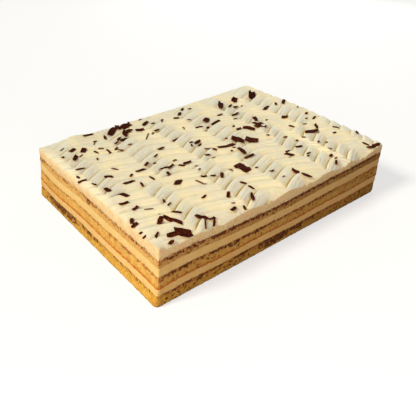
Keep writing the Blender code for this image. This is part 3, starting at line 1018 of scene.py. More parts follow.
@dataclass(frozen=True)
class CutCreamFinish:
    """Dense filling cream on a cut side."""

    name: str
    pale: Colour
    deep: Colour
    # Seep colour at the cream's foot; the same colour serves as painted shade along the sides.
    seep_and_painted_shade: Colour = srgb(194, 136, 80)
    mark_scale: float = 700.0
    mark_share: float = 0.6
    clouds: Pattern = Pattern(120.0, 3.0, 0.35, 0.65)
    ragged_scale: float = 500.0
    ragged: float = 0.25
    seep_span: Span = (0.26, 0.06)
    seep_share: float = 0.5
    crumb_span: Span = (0.36, 0.10)
    roughness: float = 0.5
    dull: float = 0.12
    bump: float = 0.35
    bump_depth: float = 0.6 * MM
    glow: float = 0.25
    glow_radius: Triple = (1.0, 0.6, 0.3)
    glow_depth: float = 4 * MM
    specular: float = 0.3

    def make(self, effects: Effects) -> Material:
        """Build the material.

        Args:
            effects: The shared surface effects.

        Returns:
            The material.
        """
        material, sheet, shader = new_material(self.name)
        place = sheet.place()
        marks = sheet.group(effects.cut_marks, Vector=place, Line_Scale=self.mark_scale)
        clouds = self.clouds.on(sheet, place)
        mixed = sheet.blend(clouds, marks.outputs["Lines"], self.mark_share)
        tone = sheet.mix(mixed, self.deep, self.pale)
        ragged = sheet.plus(sheet.attribute("rise"),
                            sheet.times(sheet.noise(place, self.ragged_scale), self.ragged))
        seeping = sheet.ramp(ragged, *self.seep_span)
        tone = sheet.mix(sheet.times(seeping, self.seep_share), tone, self.seep_and_painted_shade)
        # Painted shade along the sides, in the seep colour.
        tone = sheet.mix(sheet.attribute("painted_shade"), tone, self.seep_and_painted_shade)
        foot = sheet.times(sheet.ramp(ragged, *self.crumb_span), CRUMB_DENSITY)
        tone = add_crumbs(sheet, effects, place, foot, tone)
        sheet.fill(shader, Base_Color=tone, Subsurface_Weight=self.glow,
                   Subsurface_Radius=self.glow_radius, Subsurface_Scale=self.glow_depth,
                   Specular_IOR_Level=self.specular,
                   Roughness=sheet.plus(sheet.times(clouds, self.dull), self.roughness),
                   Normal=sheet.bump(marks.outputs["Height"], self.bump, self.bump_depth))
        return material


@dataclass(frozen=True)
class CombedCreamFinish:
    """Whipped top cream: pale ridges, painted shade in the creases, hollows and rising runs and round
    the shavings, and a peach cut edge.
    """

    name: str = "combed_cream"
    pale: Colour = srgb(238, 230, 203)
    warm: Colour = srgb(251, 237, 198)
    # Painted shade: grey for the rising runs of the zigzag, which face away from the window light.
    painted_climb_shade: Colour = srgb(236, 236, 222)
    # Painted shade in the creases, ochre like light bounced inside the cream.
    crease: Colour = srgb(214, 188, 104)
    cut: Colour = srgb(254, 226, 174)
    cut_deep: Colour = srgb(245, 206, 148)
    blush: Colour = srgb(234, 188, 136)
    # Painted shade: the warm contact shade round each shaving.
    painted_contact_shade: Colour = srgb(244, 212, 154)
    # Painted shade for the hollows between the fine comb lines.
    painted_hollow_shade: Colour = srgb(214, 216, 200)
    clouds: Pattern = Pattern(50.0, 2.0, 0.35, 0.65)
    painted_climb_shade_share: float = 0.55
    streak_stretch: Triple = (60.0, 900.0, 1.0)
    streak_span: Span = (0.45, 0.8)
    streak_share: float = 0.35
    crease_gaps: Pattern = Pattern(130.0, 2.0, 0.1, 0.5)
    painted_hollow_shade_share: float = 0.6
    ragged_scale: float = 300.0
    ragged: float = 0.7
    side_span: Span = (0.45, 0.95)
    mark_scale: float = 700.0
    mottles: Pattern = Pattern(430.0, 1.0, 0.50, 0.62, 0.38)
    roughness: float = 0.42
    dull: float = 0.1
    lump_scale: float = 350.0
    streak_height: float = 0.5
    bump: float = 0.55
    bump_depth: float = 0.9 * MM
    glow: float = 0.3
    glow_radius: Triple = (1.0, 0.7, 0.35)
    glow_depth: float = 4 * MM
    specular: float = 0.35

    def make(self, effects: Effects) -> Material:
        """Build the material.

        Args:
            effects: The shared surface effects.

        Returns:
            The material.
        """
        material, sheet, shader = new_material(self.name)
        place, drawn = sheet.place(), sheet.attribute("comb", "Vector")
        clouds = self.clouds.on(sheet, place)
        tone = sheet.mix(clouds, self.warm, self.pale)
        # Painted shade on the rising runs.
        tone = sheet.mix(sheet.times(sheet.attribute("climb"), self.painted_climb_shade_share), tone, self.painted_climb_shade)
        streaks = sheet.noise(sheet.stretched(drawn, self.streak_stretch), 1.0)
        streaky = sheet.times(sheet.ramp(streaks, *self.streak_span), self.streak_share)
        tone = sheet.mix(streaky, tone, self.warm)
        # Painted shade: ochre in and beside the creases.
        crease = sheet.times(sheet.attribute("crease"), self.crease_gaps.on(sheet, place))
        tone = sheet.mix(crease, tone, self.crease)
        # Painted shade in the hollows of the fine comb lines.
        tone = sheet.mix(sheet.times(sheet.attribute("hollow"), self.painted_hollow_shade_share), tone, self.painted_hollow_shade)
        # Painted contact shade round the shavings.
        tone = sheet.mix(sheet.attribute("painted_contact_shade"), tone, self.painted_contact_shade)
        ragged = sheet.plus(sheet.attribute("cut"),
                            sheet.times(sheet.noise(place, self.ragged_scale), self.ragged))
        marks = sheet.group(effects.cut_marks, Vector=place, Line_Scale=self.mark_scale)
        cut = sheet.mix(marks.outputs["Lines"], self.cut_deep, self.cut)
        cut = sheet.mix(self.mottles.on(sheet, place), cut, self.blush)
        foot = sheet.times(sheet.attribute("foot"), CRUMB_DENSITY)
        cut = add_crumbs(sheet, effects, place, foot, cut)
        tone = sheet.mix(sheet.ramp(ragged, *self.side_span), tone, cut)
        height = sheet.plus(sheet.times(streaks, self.streak_height),
                            sheet.noise(place, self.lump_scale))
        sheet.fill(shader, Base_Color=tone, Subsurface_Weight=self.glow,
                   Subsurface_Radius=self.glow_radius, Subsurface_Scale=self.glow_depth,
                   Specular_IOR_Level=self.specular,
                   Roughness=sheet.plus(sheet.times(clouds, self.dull), self.roughness),
                   Normal=sheet.bump(height, self.bump, self.bump_depth))
        return material


@dataclass(frozen=True)
class ChocolateFinish:
    """Dark chocolate with a dull satin surface and paler scraped streaks."""

    name: str = "chocolate"
    dark: Colour = srgb(50, 14, 5)
    scraped: Colour = srgb(116, 46, 16)
    stretch: Triple = (1.0, 0.35, 1.0)
    streak_scale: float = 900.0
    streak_span: Span = (0.46, 0.72)
    roughness: float = 0.62
    dull: float = 0.25
    bump: float = 0.4
    bump_depth: float = 0.3 * MM
    specular: float = 0.07

    def make(self) -> Material:
        """Build the material.

        Returns:
            The material.
        """
        material, sheet, shader = new_material(self.name)
        drawn = sheet.stretched(sheet.place(), self.stretch)
        streaks = sheet.noise(drawn, self.streak_scale, detail=3.0)
        tone = sheet.mix(sheet.ramp(streaks, *self.streak_span), self.dark, self.scraped)
        sheet.fill(shader, Base_Color=tone, Specular_IOR_Level=self.specular,
                   Roughness=sheet.plus(sheet.times(streaks, self.dull), self.roughness),
                   Normal=sheet.bump(streaks, self.bump, self.bump_depth))
        return material


# Cut layers -------------------------------------------------------------------


@dataclass(frozen=True)
class Stain:
    """A dark patch on a side: where it runs, how high in the layer, how dense."""

    side: Side
    start: float
    end: float
    low: float
    high: float
    density: float
    end_fade: float = 0.05
    longest_fade: float = 0.45
    end_climb: float = 0.35
    low_fade: float = 0.16
    high_span: Span = (-0.05, 0.08)

    def spread(self, rim: RimStations, rise: np.ndarray) -> np.ndarray:
        """Density of the patch over a layer's wall.

        Args:
            rim: The wall's stations.
            rise: Share of the layer's height of each ring.

        Returns:
            One row for each ring, one value for each station.
        """
        along = rim.along_side
        on_side = rim.side == self.side.value
        fade = min(self.end_fade, self.longest_fade * (self.end - self.start))
        run = smooth(self.start - fade, self.start + fade, along)
        run = run * (1 - smooth(self.end - fade, self.end + fade, along))
        low = self.low + self.end_climb * (1 - run)
        lift = smooth(-self.low_fade, self.low_fade, rise[:, None] - low[None, :])
        top = smooth(*(self.high + step for step in self.high_span), rise)
        return self.density * lift * (1 - top)[:, None] * (run * on_side)[None, :]


@dataclass(frozen=True)
class PaintedSideShade:
    """How much painted shade lies along a side, from its left end to its right end."""

    side: Side
    start: float
    end: float

    def spread(self, rim: RimStations) -> np.ndarray:
        """Share of painted shade at each station of the wall."""
        return (rim.side == self.side.value) * (self.start + (self.end - self.start) * rim.along_side)


@dataclass
class CakeLayer:
    """One layer under the top cream, as a wall of fine rings round a plain core."""

    cake: CakeShape
    node: str
    below: str
    food: Food
    finish: SpongeFinish | CutCreamFinish
    rows: int
    stains: tuple[Stain, ...]
    painted_side_shades: tuple[PaintedSideShade, ...]
    bulge: float = 0.3 * MM
    rough_size: float = 2.2 * MM
    rough_height: float = 0.4 * MM
    fine_ratio: float = 2.3
    fine_height: float = 0.22 * MM
    foot_band: float = 0.0
    band_place: float = 0.12
    band_reach: float = 0.14
    foot_crowding: float = 1.25
    undercut: float = 1.8 * MM
    steepest: float = 0.999
    spacing: float = 0.85 * MM
    corner_steps: int = 6
    neat_sides: tuple[Side, ...] = (Side.LEFT, Side.BACK)

    @property
    def is_foot(self) -> bool:
        """Whether the layer stands on the table."""
        return self.below == "foot"

    def build(self, effects: Effects) -> Piece:
        """Model the layer and dress it.

        Args:
            effects: The shared surface effects.

        Returns:
            The layer's object.
        """
        rim = RimStations.spaced(self.cake, self.spacing, self.corner_steps)
        piece = self.stacked_rings(len(rim.share))
        rings, rise, stain = self.rings(rim)
        points = places_of(piece)
        ring = np.rint(-points[:, 2]).astype(int)
        turn = np.arctan2(points[:, 1], points[:, 0]) / (2 * math.pi)
        station = np.rint((turn - turn[0]) * len(rim.share)).astype(int) % len(rim.share)
        put_places(piece.data, rings[ring, station])
        # wet: painted shade along each side, darker towards the front's right end.
        wet = sum((patch.spread(rim) for patch in self.painted_side_shades), np.zeros(len(rim.share)))
        neat = np.isin(rim.side, [side.value for side in self.neat_sides]).astype(float)
        for name, values in (("rise", rise[ring]), ("stain", stain[ring, station]),
                             ("painted_shade", wet[station]), ("neat", neat[station])):
            add_attribute(piece.data, name, values)
        edit(piece)
        face_outwards()
        dress(piece, LAYER_SHADING, self.finish.make(effects))
        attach(piece, "root")
        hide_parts(self.node)
        return piece

    def stacked_rings(self, count: int) -> Piece:
        """Make a closed tube of rings, one metre apart, to be moved to their real places.

        Args:
            count: Number of points in each ring.

        Returns:
            The tube.
        """
        start_clean()
        bpy.ops.mesh.primitive_circle_add(vertices=count, radius=1, fill_type="NGON")
        piece = bpy.context.object
        piece.name = f"{self.node}_cut"
        piece.data.name = piece.name
        hang_rings(piece, self.rows + 2)
        return piece

    def rings(self, rim: RimStations) -> tuple[np.ndarray, np.ndarray, np.ndarray]:
        """Work out every ring, from the inner ring on top to the inner ring below.

        Args:
            rim: The stations round the cake.

        Returns:
            The rings' points, each ring's rise, and the stain at each point.
        """
        roof = self.seam(rim, self.node)
        floor = np.zeros(len(rim.share)) if self.is_foot else self.seam(rim, self.below)
        rise = np.linspace(1, 0, self.rows + 1)
        if self.is_foot:
            rise = rise ** self.foot_crowding
        walls = [self.wall_ring(rim, floor + (roof - floor) * share, share) for share in rise]
        half_gap = self.cake.gap / 2
        cap = self.inner_ring(rim, self.cake.levels[self.node] - half_gap)
        base = self.inner_ring(rim, 0.0 if self.is_foot else self.cake.levels[self.below] + half_gap)
        rise = np.concatenate([[1.0], rise, [0.0]])
        stain = np.zeros((len(rise), len(rim.share)))
        for patch in self.stains:
            stain = np.maximum(stain, patch.spread(rim, rise))
        return np.stack([cap, *walls, base]), rise, stain

    def seam(self, rim: RimStations, level: str) -> np.ndarray:
        """Find the height of a seam round the cake.

        Args:
            rim: The stations round the cake.
            level: The layer under the seam.

        Returns:
            One height for each station.
        """
        height = self.cake.levels[level]
        flat = rim.places(self.cake, height, 0.0)
        return self.cake.seam(flat[:, 0], flat[:, 1], height)

    def inner_ring(self, rim: RimStations, height: float) -> np.ndarray:
        """A level ring inside the cake, which closes the layer."""
        flat = rim.places(self.cake, height, self.cake.cap_inset)
        return np.column_stack([flat, np.full(len(flat), height)])

    def wall_ring(self, rim: RimStations, height: np.ndarray, rise: float) -> np.ndarray:
        """One ring of the cut side, with the relief of the food.

        Args:
            rim: The stations round the cake.
            height: Height at each station.
            rise: Share of the layer's height.

        Returns:
            One point for each station.
        """
        flat = rim.places(self.cake, height, 0.0)
        points = np.column_stack([flat, height])
        relief = self.rough_height * grain(points, self.rough_size, seed=1.0)
        fine_size = self.rough_size / self.fine_ratio
        relief = relief + self.fine_height * grain(points, fine_size, seed=5.0)
        relief = relief + self.bulge * (4 * rise * (1 - rise))
        relief = relief + self.foot_band * bell(rise, self.band_place, self.band_reach)
        if self.is_foot:
            low = np.clip(1 - height / self.cake.foot_rounding, 0, self.steepest)
            relief = relief - self.undercut * (1 - np.sqrt(1 - low ** 2))
            relief = relief - (self.rough_height + self.fine_height) / 2 - self.bulge
        return np.column_stack([flat + rim.normals * relief[:, None], height])


# Top cream --------------------------------------------------------------------


@dataclass(frozen=True)
class Wander:
    """Slow noise drawn out along the comb's rows."""

    along: float
    across: float
    seed: float
    size: float = 1.0

    def at(self, along: np.ndarray, row: np.ndarray) -> np.ndarray:
        """Sample the noise at places along comb rows."""
        drawn = np.column_stack([along / self.along, row / self.across, np.zeros(len(row))])
        return grain(drawn, self.size, self.seed)


@dataclass
class CombedCream:
    """The top cream: a fine combed sheet with cut sides."""

    cake: CakeShape
    comb: Comb
    columns: int = 214
    margin: float = 8 * MM
    tooth_samples: tuple[float, ...] = (0.0, 0.018, 0.04, 0.07, 0.11, 0.16, 0.22, 0.29, 0.36, 0.41,
                                        0.45, 0.49, 0.53, 0.57, 0.61, 0.66, 0.72, 0.79, 0.86, 0.92,
                                        0.96, 0.984)
    lump_size: float = 9 * MM
    lump_height: float = 0.28 * MM
    streaks: Wander = Wander(30 * MM, 1.9 * MM, 4.0)
    streak_height: float = 0.26 * MM
    groove_depth: float = 0.48 * MM
    groove_width: float = 0.042
    groove_least: float = 0.25
    groove_gaps: Wander = Wander(14 * MM, 16 * MM, 27.0)
    gap_span: Span = (0.1, -0.5)
    groove_break: float = 0.6
    deeper_right: float = 0.2 * MM
    deeper_stretch: Span = (90 * MM, 210 * MM)
    line_height: float = 0.42 * MM
    lines_per_tooth: float = 3.0
    line_bend: Wander = Wander(45 * MM, 9 * MM, 9.0)
    line_bending: float = 0.5
    line_strength: Wander = Wander(45 * MM, 9 * MM, 17.0, 0.8)
    line_span: Span = (-0.1, 0.5)
    line_least: float = 0.15
    line_start: Span = (0.08, 0.3)
    line_end: Span = (1.0, 0.85)
    line_climb_loss: float = 0.75
    split_bend: Wander = Wander(26 * MM, 11 * MM, 21.0)
    split_bending: float = 0.08
    split_parts: Wander = Wander(26 * MM, 11 * MM, 33.0, 0.7)
    split_span: Span = (-0.15, 0.25)
    split_place: float = 0.52
    split_width: float = 0.8
    split_share: float = 0.45
    left_end_loss: float = 0.6
    left_end_stretch: float = 9 * MM
    wall_rows: int = 9
    wall_crowding: float = 1.3
    wall_bulge: float = 0.25 * MM
    wall_relief: tuple[Triple, ...] = ((0.25 * MM, 7 * MM, 6.0), (0.08 * MM, 2 * MM, 7.0))
    relief_start: Span = (0.0, 0.3)
    edge_width: float = 0.5 * MM
    crease_width: float = 0.085
    crease_lead: float = 0.03
    crease_least: float = 0.06
    crease_lost: float = 0.3
    crease_strength: float = 1.4
    crease_fade: float = 0.65
    over_edge: float = 0.25
    over_edge_reach: float = 3 * MM
    over_left_edge: float = 0.45
    over_left_reach: float = 6 * MM
    wall_cut: float = 0.35
    cut_reach: float = 3 * MM
    foot_span: Span = (0.4 * MM, 2.4 * MM)
    contact_shade_share: float = 0.55
    contact_shade_reach: float = 0.8 * MM

    def build(self, material: Material) -> Piece:
        """Model the cream and dress it.

        Args:
            material: Its finish.

        Returns:
            The cream's object.
        """
        piece = self.combed_sheet()
        self.trim(piece)
        wall_from = self.drop_walls(piece)
        self.mark(piece, wall_from)
        dress(piece, CREAM_SHADING, material)
        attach(piece, "root")
        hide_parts("cream_top")
        return piece

    def rows(self) -> np.ndarray:
        """Find the comb rows to model.

        Returns:
            The rows from front to back, at each sample of each tooth.
        """
        first = math.floor(-self.margin / self.comb.pitch) - 1
        last = math.ceil((self.cake.top_width + self.margin) / self.comb.pitch) + 1
        rows = [self.comb.first_crease + (number + 1 - share) * self.comb.pitch
                for number in range(first, last) for share in self.tooth_samples]
        return np.array(sorted(rows))

    def combed_sheet(self) -> Piece:
        """Make a sheet larger than the cake whose rows follow the comb.

        Returns:
            The sheet.
        """
        rows = self.rows()
        start_clean()
        bpy.ops.mesh.primitive_grid_add(x_subdivisions=self.columns, y_subdivisions=len(rows) - 1,
                                        size=1)
        piece = bpy.context.object
        piece.name = "combed_cream"
        piece.data.name = piece.name
        share = places_of(piece).astype(float) + 0.5
        along = share[:, 0] * (self.cake.top_length + 2 * self.margin) - self.margin
        row = rows[np.rint(share[:, 1] * (len(rows) - 1)).astype(int)]
        across = row + self.comb.swing_at(along, row)
        height = self.comb.height(along, row)
        places = np.column_stack([self.cake.left + along, self.cake.front + across, height])
        places[:, 2] += self.fine_relief(along, row, places)
        put_places(piece.data, places)
        return piece

    def fine_relief(self, along: np.ndarray, row: np.ndarray, places: np.ndarray) -> np.ndarray:
        """Height of what is finer than the teeth: grooves, comb lines, streaks and lumps.

        Args:
            along: Places from the top's left end.
            row: Comb rows.
            places: The same points in the cake's frame.

        Returns:
            How far each point is lifted.
        """
        phase = self.comb.phase(row)
        climb = self.comb.climb(along, row)
        depth = self.comb.depth_at(along, row)
        faded = self.left_end_loss * (1 - smooth(0.0, self.left_end_stretch, along))
        lift = faded * (1 - self.comb.tooth(phase)) * depth
        groove = bell(np.minimum(phase, 1 - phase), 0.0, self.groove_width)
        groove = groove * (self.groove_least + (1 - self.groove_least) * climb)
        groove = groove + self.split_share * self.split(along, row) * climb
        gaps = smooth(*self.gap_span, self.groove_gaps.at(along, row))
        groove = groove * depth / self.comb.depth * (1 - self.groove_break * gaps)
        deep = self.groove_depth + self.deeper_right * smooth(*self.deeper_stretch, along)
        return (lift - deep * groove * (1 - faded)
                + self.line_height * self.comb_lines(along, row)
                + self.streak_height * self.streaks.at(along, row)
                + self.lump_height * grain(places, self.lump_size, seed=2.0))

    def comb_lines(self, along: np.ndarray, row: np.ndarray) -> np.ndarray:
        """Fine lines between the teeth.

        Args:
            along: Places from the top's left end.
            row: Comb rows.

        Returns:
            From -1 in a hollow to 1 on a crest.
        """
        phase = self.comb.phase(row)
        turns = self.lines_per_tooth * phase + self.line_bending * self.line_bend.at(along, row)
        clear = smooth(*self.line_start, phase) * smooth(*self.line_end, phase)
        strength = smooth(*self.line_span, self.line_strength.at(along, row))
        strength = self.line_least + (1 - self.line_least) * strength
        strength = strength * (1 - self.line_climb_loss * self.comb.climb(along, row))
        return np.cos(2 * math.pi * turns) * clear * strength

    def split(self, along: np.ndarray, row: np.ndarray) -> np.ndarray:
        """Mark the finer second crease, which comes and goes half way down a tooth.

        Args:
            along: Places from the top's left end.
            row: Comb rows.

        Returns:
            1 in the crease, 0 away from it.
        """
        there = smooth(*self.split_span, self.split_parts.at(along, row))
        middle = self.split_place + self.split_bending * self.split_bend.at(along, row)
        return bell(self.comb.phase(row), middle, self.split_width * self.groove_width) * there

    def trim(self, piece: Piece) -> None:
        """Cut the sheet along the four sides of the cake's top.

        Args:
            piece: The combed sheet.
        """
        low_x, high_x, low_y, high_y = self.cake.edges(self.cake.height)
        cuts = (((low_x, 0, 0), (-1, 0, 0)), ((high_x, 0, 0), (1, 0, 0)),
                ((0, low_y, 0), (0, -1, 0)), ((0, high_y, 0), (0, 1, 0)))
        edit(piece)
        for place, outwards in cuts:
            bpy.ops.mesh.select_all(action="SELECT")
            bpy.ops.mesh.bisect(plane_co=place, plane_no=outwards, clear_outer=True)

    def drop_walls(self, piece: Piece) -> int:
        """Hang the cut sides from the sheet's rim and close them below.

        Args:
            piece: The trimmed sheet.

        Returns:
            Number of the first point that belongs to the cut sides.
        """
        hang_rings(piece, self.wall_rows + 1)
        points = places_of(piece).astype(float)
        ring = np.rint(self.cake.height - points[:, 2]).astype(int)
        tops = {(x, y): z for x, y, z in points[ring == 0]}
        hung = np.flatnonzero(ring > 0)
        rim = np.array([tops[(x, y)] for x, y in points[hung, :2]])
        points[hung] = self.wall_points(points[hung, :2], rim, ring[hung])
        top = ring == 0
        points[top, :2] = self.rounded(points[top, :2], self.cake.height, 0.0)
        put_places(piece.data, points)
        edit(piece)
        face_outwards()
        bpy.ops.object.mode_set(mode="OBJECT")
        return int(hung.min())

    def rounded(self, flat: np.ndarray, height: np.ndarray, inset: float) -> np.ndarray:
        """Carry points of the top's square outline to the real outline at a height.

        Args:
            flat: Points of the square top.
            height: Height for each point.
            inset: How far inside the outline to stay.

        Returns:
            The moved points.
        """
        low_x, high_x, low_y, high_y = self.cake.edges(self.cake.height)
        new_low_x, new_high_x, new_low_y, new_high_y = self.cake.edges(height, inset)
        x = new_low_x + (flat[:, 0] - low_x) / (high_x - low_x) * (new_high_x - new_low_x)
        y = new_low_y + (flat[:, 1] - low_y) / (high_y - low_y) * (new_high_y - new_low_y)
        radius = self.cake.radius(height)
        beyond_x = np.maximum(x - (new_high_x - radius), 0) - np.maximum(new_low_x + radius - x, 0)
        beyond_y = np.maximum(y - (new_high_y - radius), 0) - np.maximum(new_low_y + radius - y, 0)
        longest = np.maximum(np.abs(beyond_x), np.abs(beyond_y))
        both = (np.abs(beyond_x) > 0) & (np.abs(beyond_y) > 0)
        shrink = np.where(both, longest / np.maximum(np.hypot(beyond_x, beyond_y), TINY), 1.0)
        return np.column_stack([x - beyond_x * (1 - shrink), y - beyond_y * (1 - shrink)])

    def wall_points(self, flat: np.ndarray, rim: np.ndarray, ring: np.ndarray) -> np.ndarray:
        """Places of the cut sides' points.

        Args:
            flat: Where the sheet's rim is above each point.
            rim: Height of the rim above each point.
            ring: Number of each point's ring, from 1.

        Returns:
            One point for each.
        """
        level = self.cake.levels["sponge_top"]
        seam = self.cake.seam(flat[:, 0], flat[:, 1], level)
        share = np.clip(ring / self.wall_rows, 0, 1) ** self.wall_crowding
        inner = ring > self.wall_rows
        height = np.where(inner, level + self.cake.gap / 2, rim + (seam - rim) * share)
        moved = self.rounded(flat, height, 0.0)
        inside = self.rounded(flat, height, self.cake.cap_inset)
        spots = np.column_stack([moved, height])
        relief = sum(high * grain(spots, size, seed) for high, size, seed in self.wall_relief)
        relief = relief * smooth(*self.relief_start, share)
        relief = relief + self.wall_bulge * np.sin(math.pi * share)
        moved = moved + self.outwards(flat) * relief[:, None]
        return np.column_stack([np.where(inner[:, None], inside, moved), height])

    def outwards(self, flat: np.ndarray) -> np.ndarray:
        """Find the outward direction of points on the square outline.

        Args:
            flat: Points of the square top.

        Returns:
            One direction for each point.
        """
        low_x, high_x, low_y, high_y = self.cake.edges(self.cake.height)
        near = self.edge_width
        x = (flat[:, 0] > high_x - near) * 1.0 - (flat[:, 0] < low_x + near) * 1.0
        y = (flat[:, 1] > high_y - near) * 1.0 - (flat[:, 1] < low_y + near) * 1.0
        return np.column_stack([x, y]) / np.maximum(np.hypot(x, y), 1)[:, None]

    def mark(self, piece: Piece, wall_from: int) -> None:
        """Store what the material reads: comb place, painted crease and hollow shade, rising runs, cut
        side and painted contact shade round the shavings.

        Args:
            piece: The cream.
            wall_from: Number of the first point that belongs to the cut sides.
        """
        points = places_of(piece).astype(float)
        wall = np.arange(len(points)) >= wall_from
        along = points[:, 0] - self.cake.left
        row = self.comb.row_at(points[:, 0], points[:, 1])
        held = self.comb.depth_at(along, row) / self.comb.depth
        climb = self.comb.climb(along, row)
        # hollow: where painted shade lies, in the hollows of the fine comb lines.
        hollow = np.clip(-self.comb_lines(along, row), 0, 1) * held
        seam = self.cake.seam(points[:, 0], points[:, 1], self.cake.levels["sponge_top"])
        foot = 1 - smooth(*self.foot_span, points[:, 2] - seam)
        below = self.comb.height(along, row) - points[:, 2]
        cut = np.where(wall, self.wall_cut + smooth(0.0, self.cut_reach, below),
                       self.cut_over_edge(points))
        for name, values in (
                ("comb", np.column_stack([along, row, np.zeros(len(row))])),
                ("crease", np.where(wall, 0.0, self.painted_crease_shade(along, row, climb, held))),
                ("hollow", np.where(wall, 0.0, hollow)),
                ("climb", climb),
                ("cut", np.clip(cut, 0, 1)),
                ("painted_contact_shade", np.where(wall, 0.0, self.painted_contact_shade_mask(points))),
                ("foot", np.where(wall, foot, 0.0))):
            add_attribute(piece.data, name, values)

    def painted_crease_shade(self, along: np.ndarray, row: np.ndarray, climb: np.ndarray,
                    held: np.ndarray) -> np.ndarray:
        """How much ochre painted shade lies in and beside a crease.

        Args:
            along: Places from the top's left end.
            row: Comb rows.
            climb: Share of a run where the comb swung back.
            held: Share of the comb's depth that is left there.

        Returns:
            A share for each point.
        """
        distance = np.abs((self.comb.phase(row) + self.crease_lead + 0.5) % 1 - 0.5)
        crease = bell(distance, 0.0, self.crease_width)
        crease = crease * (self.crease_least + (1 - self.crease_least) * climb)
        crease = crease + self.split_share * self.split(along, row) * climb
        strength = self.crease_strength - self.crease_fade * smooth(*self.deeper_stretch, along)
        return np.clip(strength * crease * (self.crease_lost + (1 - self.crease_lost) * held), 0, 1)

    def cut_over_edge(self, points: np.ndarray) -> np.ndarray:
        """How far the cut side's colour comes over the top's edge, most on the left.

        Args:
            points: The cream's points.

        Returns:
            A share for each point, below 0 away from the edges.
        """
        low_x, high_x, low_y, high_y = self.cake.edges(self.cake.height)
        x, y = points[:, 0], points[:, 1]
        to_side = np.minimum(high_x - x, np.minimum(y - low_y, high_y - y))
        return np.maximum(self.over_edge - to_side / self.over_edge_reach,
                          self.over_left_edge - (x - low_x) / self.over_left_reach)

    def painted_contact_shade_mask(self, points: np.ndarray) -> np.ndarray:
        """How much warm painted contact shade lies on the cream round each shaving.

        Args:
            points: The cream's points.

        Returns:
            A share for each point.
        """
        spots = points[:, :2] - np.array([self.cake.left, self.cake.front])
        tint = np.zeros(len(points))
        for along, across, length, width, heading, _ in LARGE_SHAVINGS + SMALL_SHAVINGS:
            turn = math.radians(heading)
            gap = spots - np.array([along, across]) * MM
            ahead = np.abs(gap[:, 0] * math.cos(turn) + gap[:, 1] * math.sin(turn))
            aside = np.abs(gap[:, 1] * math.cos(turn) - gap[:, 0] * math.sin(turn))
            beyond = np.hypot(np.maximum(ahead - length * MM / 2, 0),
                              np.maximum(aside - width * MM / 2, 0))
            tint = np.maximum(tint, self.contact_shade_share * np.exp(-beyond / self.contact_shade_reach))
        return tint


# Chocolate --------------------------------------------------------------------


# The larger shavings, as the solid cream has them: place from the front left corner
# of the top, length and width in millimetres, then heading and roll in degrees.
LARGE_SHAVINGS: Laid = (
    (131, 51, 16, 10.5, -87, 0), (177, 87, 14, 9, -64, 5), (166, 96, 15.5, 8.5, -74, 5),
    (146, 93, 15, 4.6, -20, 0), (19.4, 7.5, 12, 4, -10, 20), (27, 5.3, 13, 9, -38, 8),
    (30, 23, 18, 4.5, -70, 10), (22, 29, 9, 4, 42, 0), (76, 193, 19, 6.5, 42, 30),
    (94, 195, 13, 8, 25, 30), (86, 198, 10, 6, 75, 10), (85, 182, 13, 7, 50, 25),
    (76, 170, 12, 4, 35, 15), (23, 179, 7.5, 3.8, 28, 20), (32, 173, 10.5, 6, 55, 15),
    (18, 163, 9, 4.2, 44, 20), (101, 178, 9, 4.5, -20, 10), (115, 189, 11.5, 3.6, 30, 15),
    (160, 187, 8, 3.5, 45, 0), (170, 152, 10, 7, 38, 20), (178, 145, 14, 4, 15, 10),
    (210, 175, 15, 8, 45, 35), (234, 177, 10, 7, 35, 25), (258, 174, 17, 11, 42, 42),
    (194, 109, 13.5, 5.5, -65, 10), (211, 113, 10, 6, -34, 0), (207, 107, 8, 5, -40, 0),
    (217, 123, 11, 4.5, 60, 0), (244, 104, 7, 6, -30, 0), (250, 138, 10.5, 3.2, 16, 0),
    (275, 135, 10, 4, 35, 15), (242, 63, 17, 4.5, -14, 15), (255, 68, 12, 3.5, 50, 15),
    (186, 43, 9, 3.5, -50, 0), (205, 48, 8, 3, -10, 10), (153, 77, 12, 6.5, 85, 15),
    (151, 63, 13, 3.5, 5, 0), (68, 67, 10, 6.5, 38, 10), (53.5, 104, 9, 3, -3, 0),
    (34, 93, 10, 3, -4, 0), (79, 93, 9, 2.6, 20, 0), (73, 95, 8, 3, -30, 0),
    (96, 90, 8.5, 3.2, -5, 0), (19, 79, 10.5, 3.8, -64, 10), (13, 94, 9, 4, -92, 0),
    (107, 53, 12, 3, 52, 0), (104, 10, 13, 2.8, 55, 0), (50.5, 12.5, 11, 4, -68, 10),
    (166, 17, 8.5, 5, -86, 0), (169, 6, 8.5, 4, -45, 0), (272, 3, 10, 4.5, -15, 10),
    (131.5, 119, 9, 3.4, 12, 10), (12, 66, 8, 3, -8, 0), (4.5, 42.6, 8.5, 3.5, 60, 0),
    (2.9, 36, 6, 3.6, 10, 0), (16, 55, 8, 3.2, 30, 0), (25, 113, 8, 3.2, -48, 0),
    (3.7, 121.6, 8.5, 3, 0, 0), (64.5, 111.5, 7, 2.8, 30, 0), (118, 138, 7.5, 2.4, 18, 0),
    (52, 200, 11, 3.2, 4, 0), (90, 183, 6, 5, 60, 0), (94, 187, 6, 4, -20, 0),
    (116, 168, 7, 3, 20, 0), (207, 145, 12, 3, 12, 0), (264, 3.2, 8, 4, -20, 0),
    (90, 25, 6.5, 3, 45, 0), (78, 5.3, 6, 3.5, 8, 0), (211, 5.3, 6, 2.4, 40, 0),
    (189, 48, 6.5, 2.6, 8, 0), (185, 115, 7.5, 4.5, 8, 0), (263, 136, 6, 3, 45, 0),
    (151, 181, 6, 3.5, -30, 0), (170, 195, 7, 3, 35, 0), (73, 174, 7, 3, 45, 0),
    (219, 167, 8, 2.6, 30, 0),
)

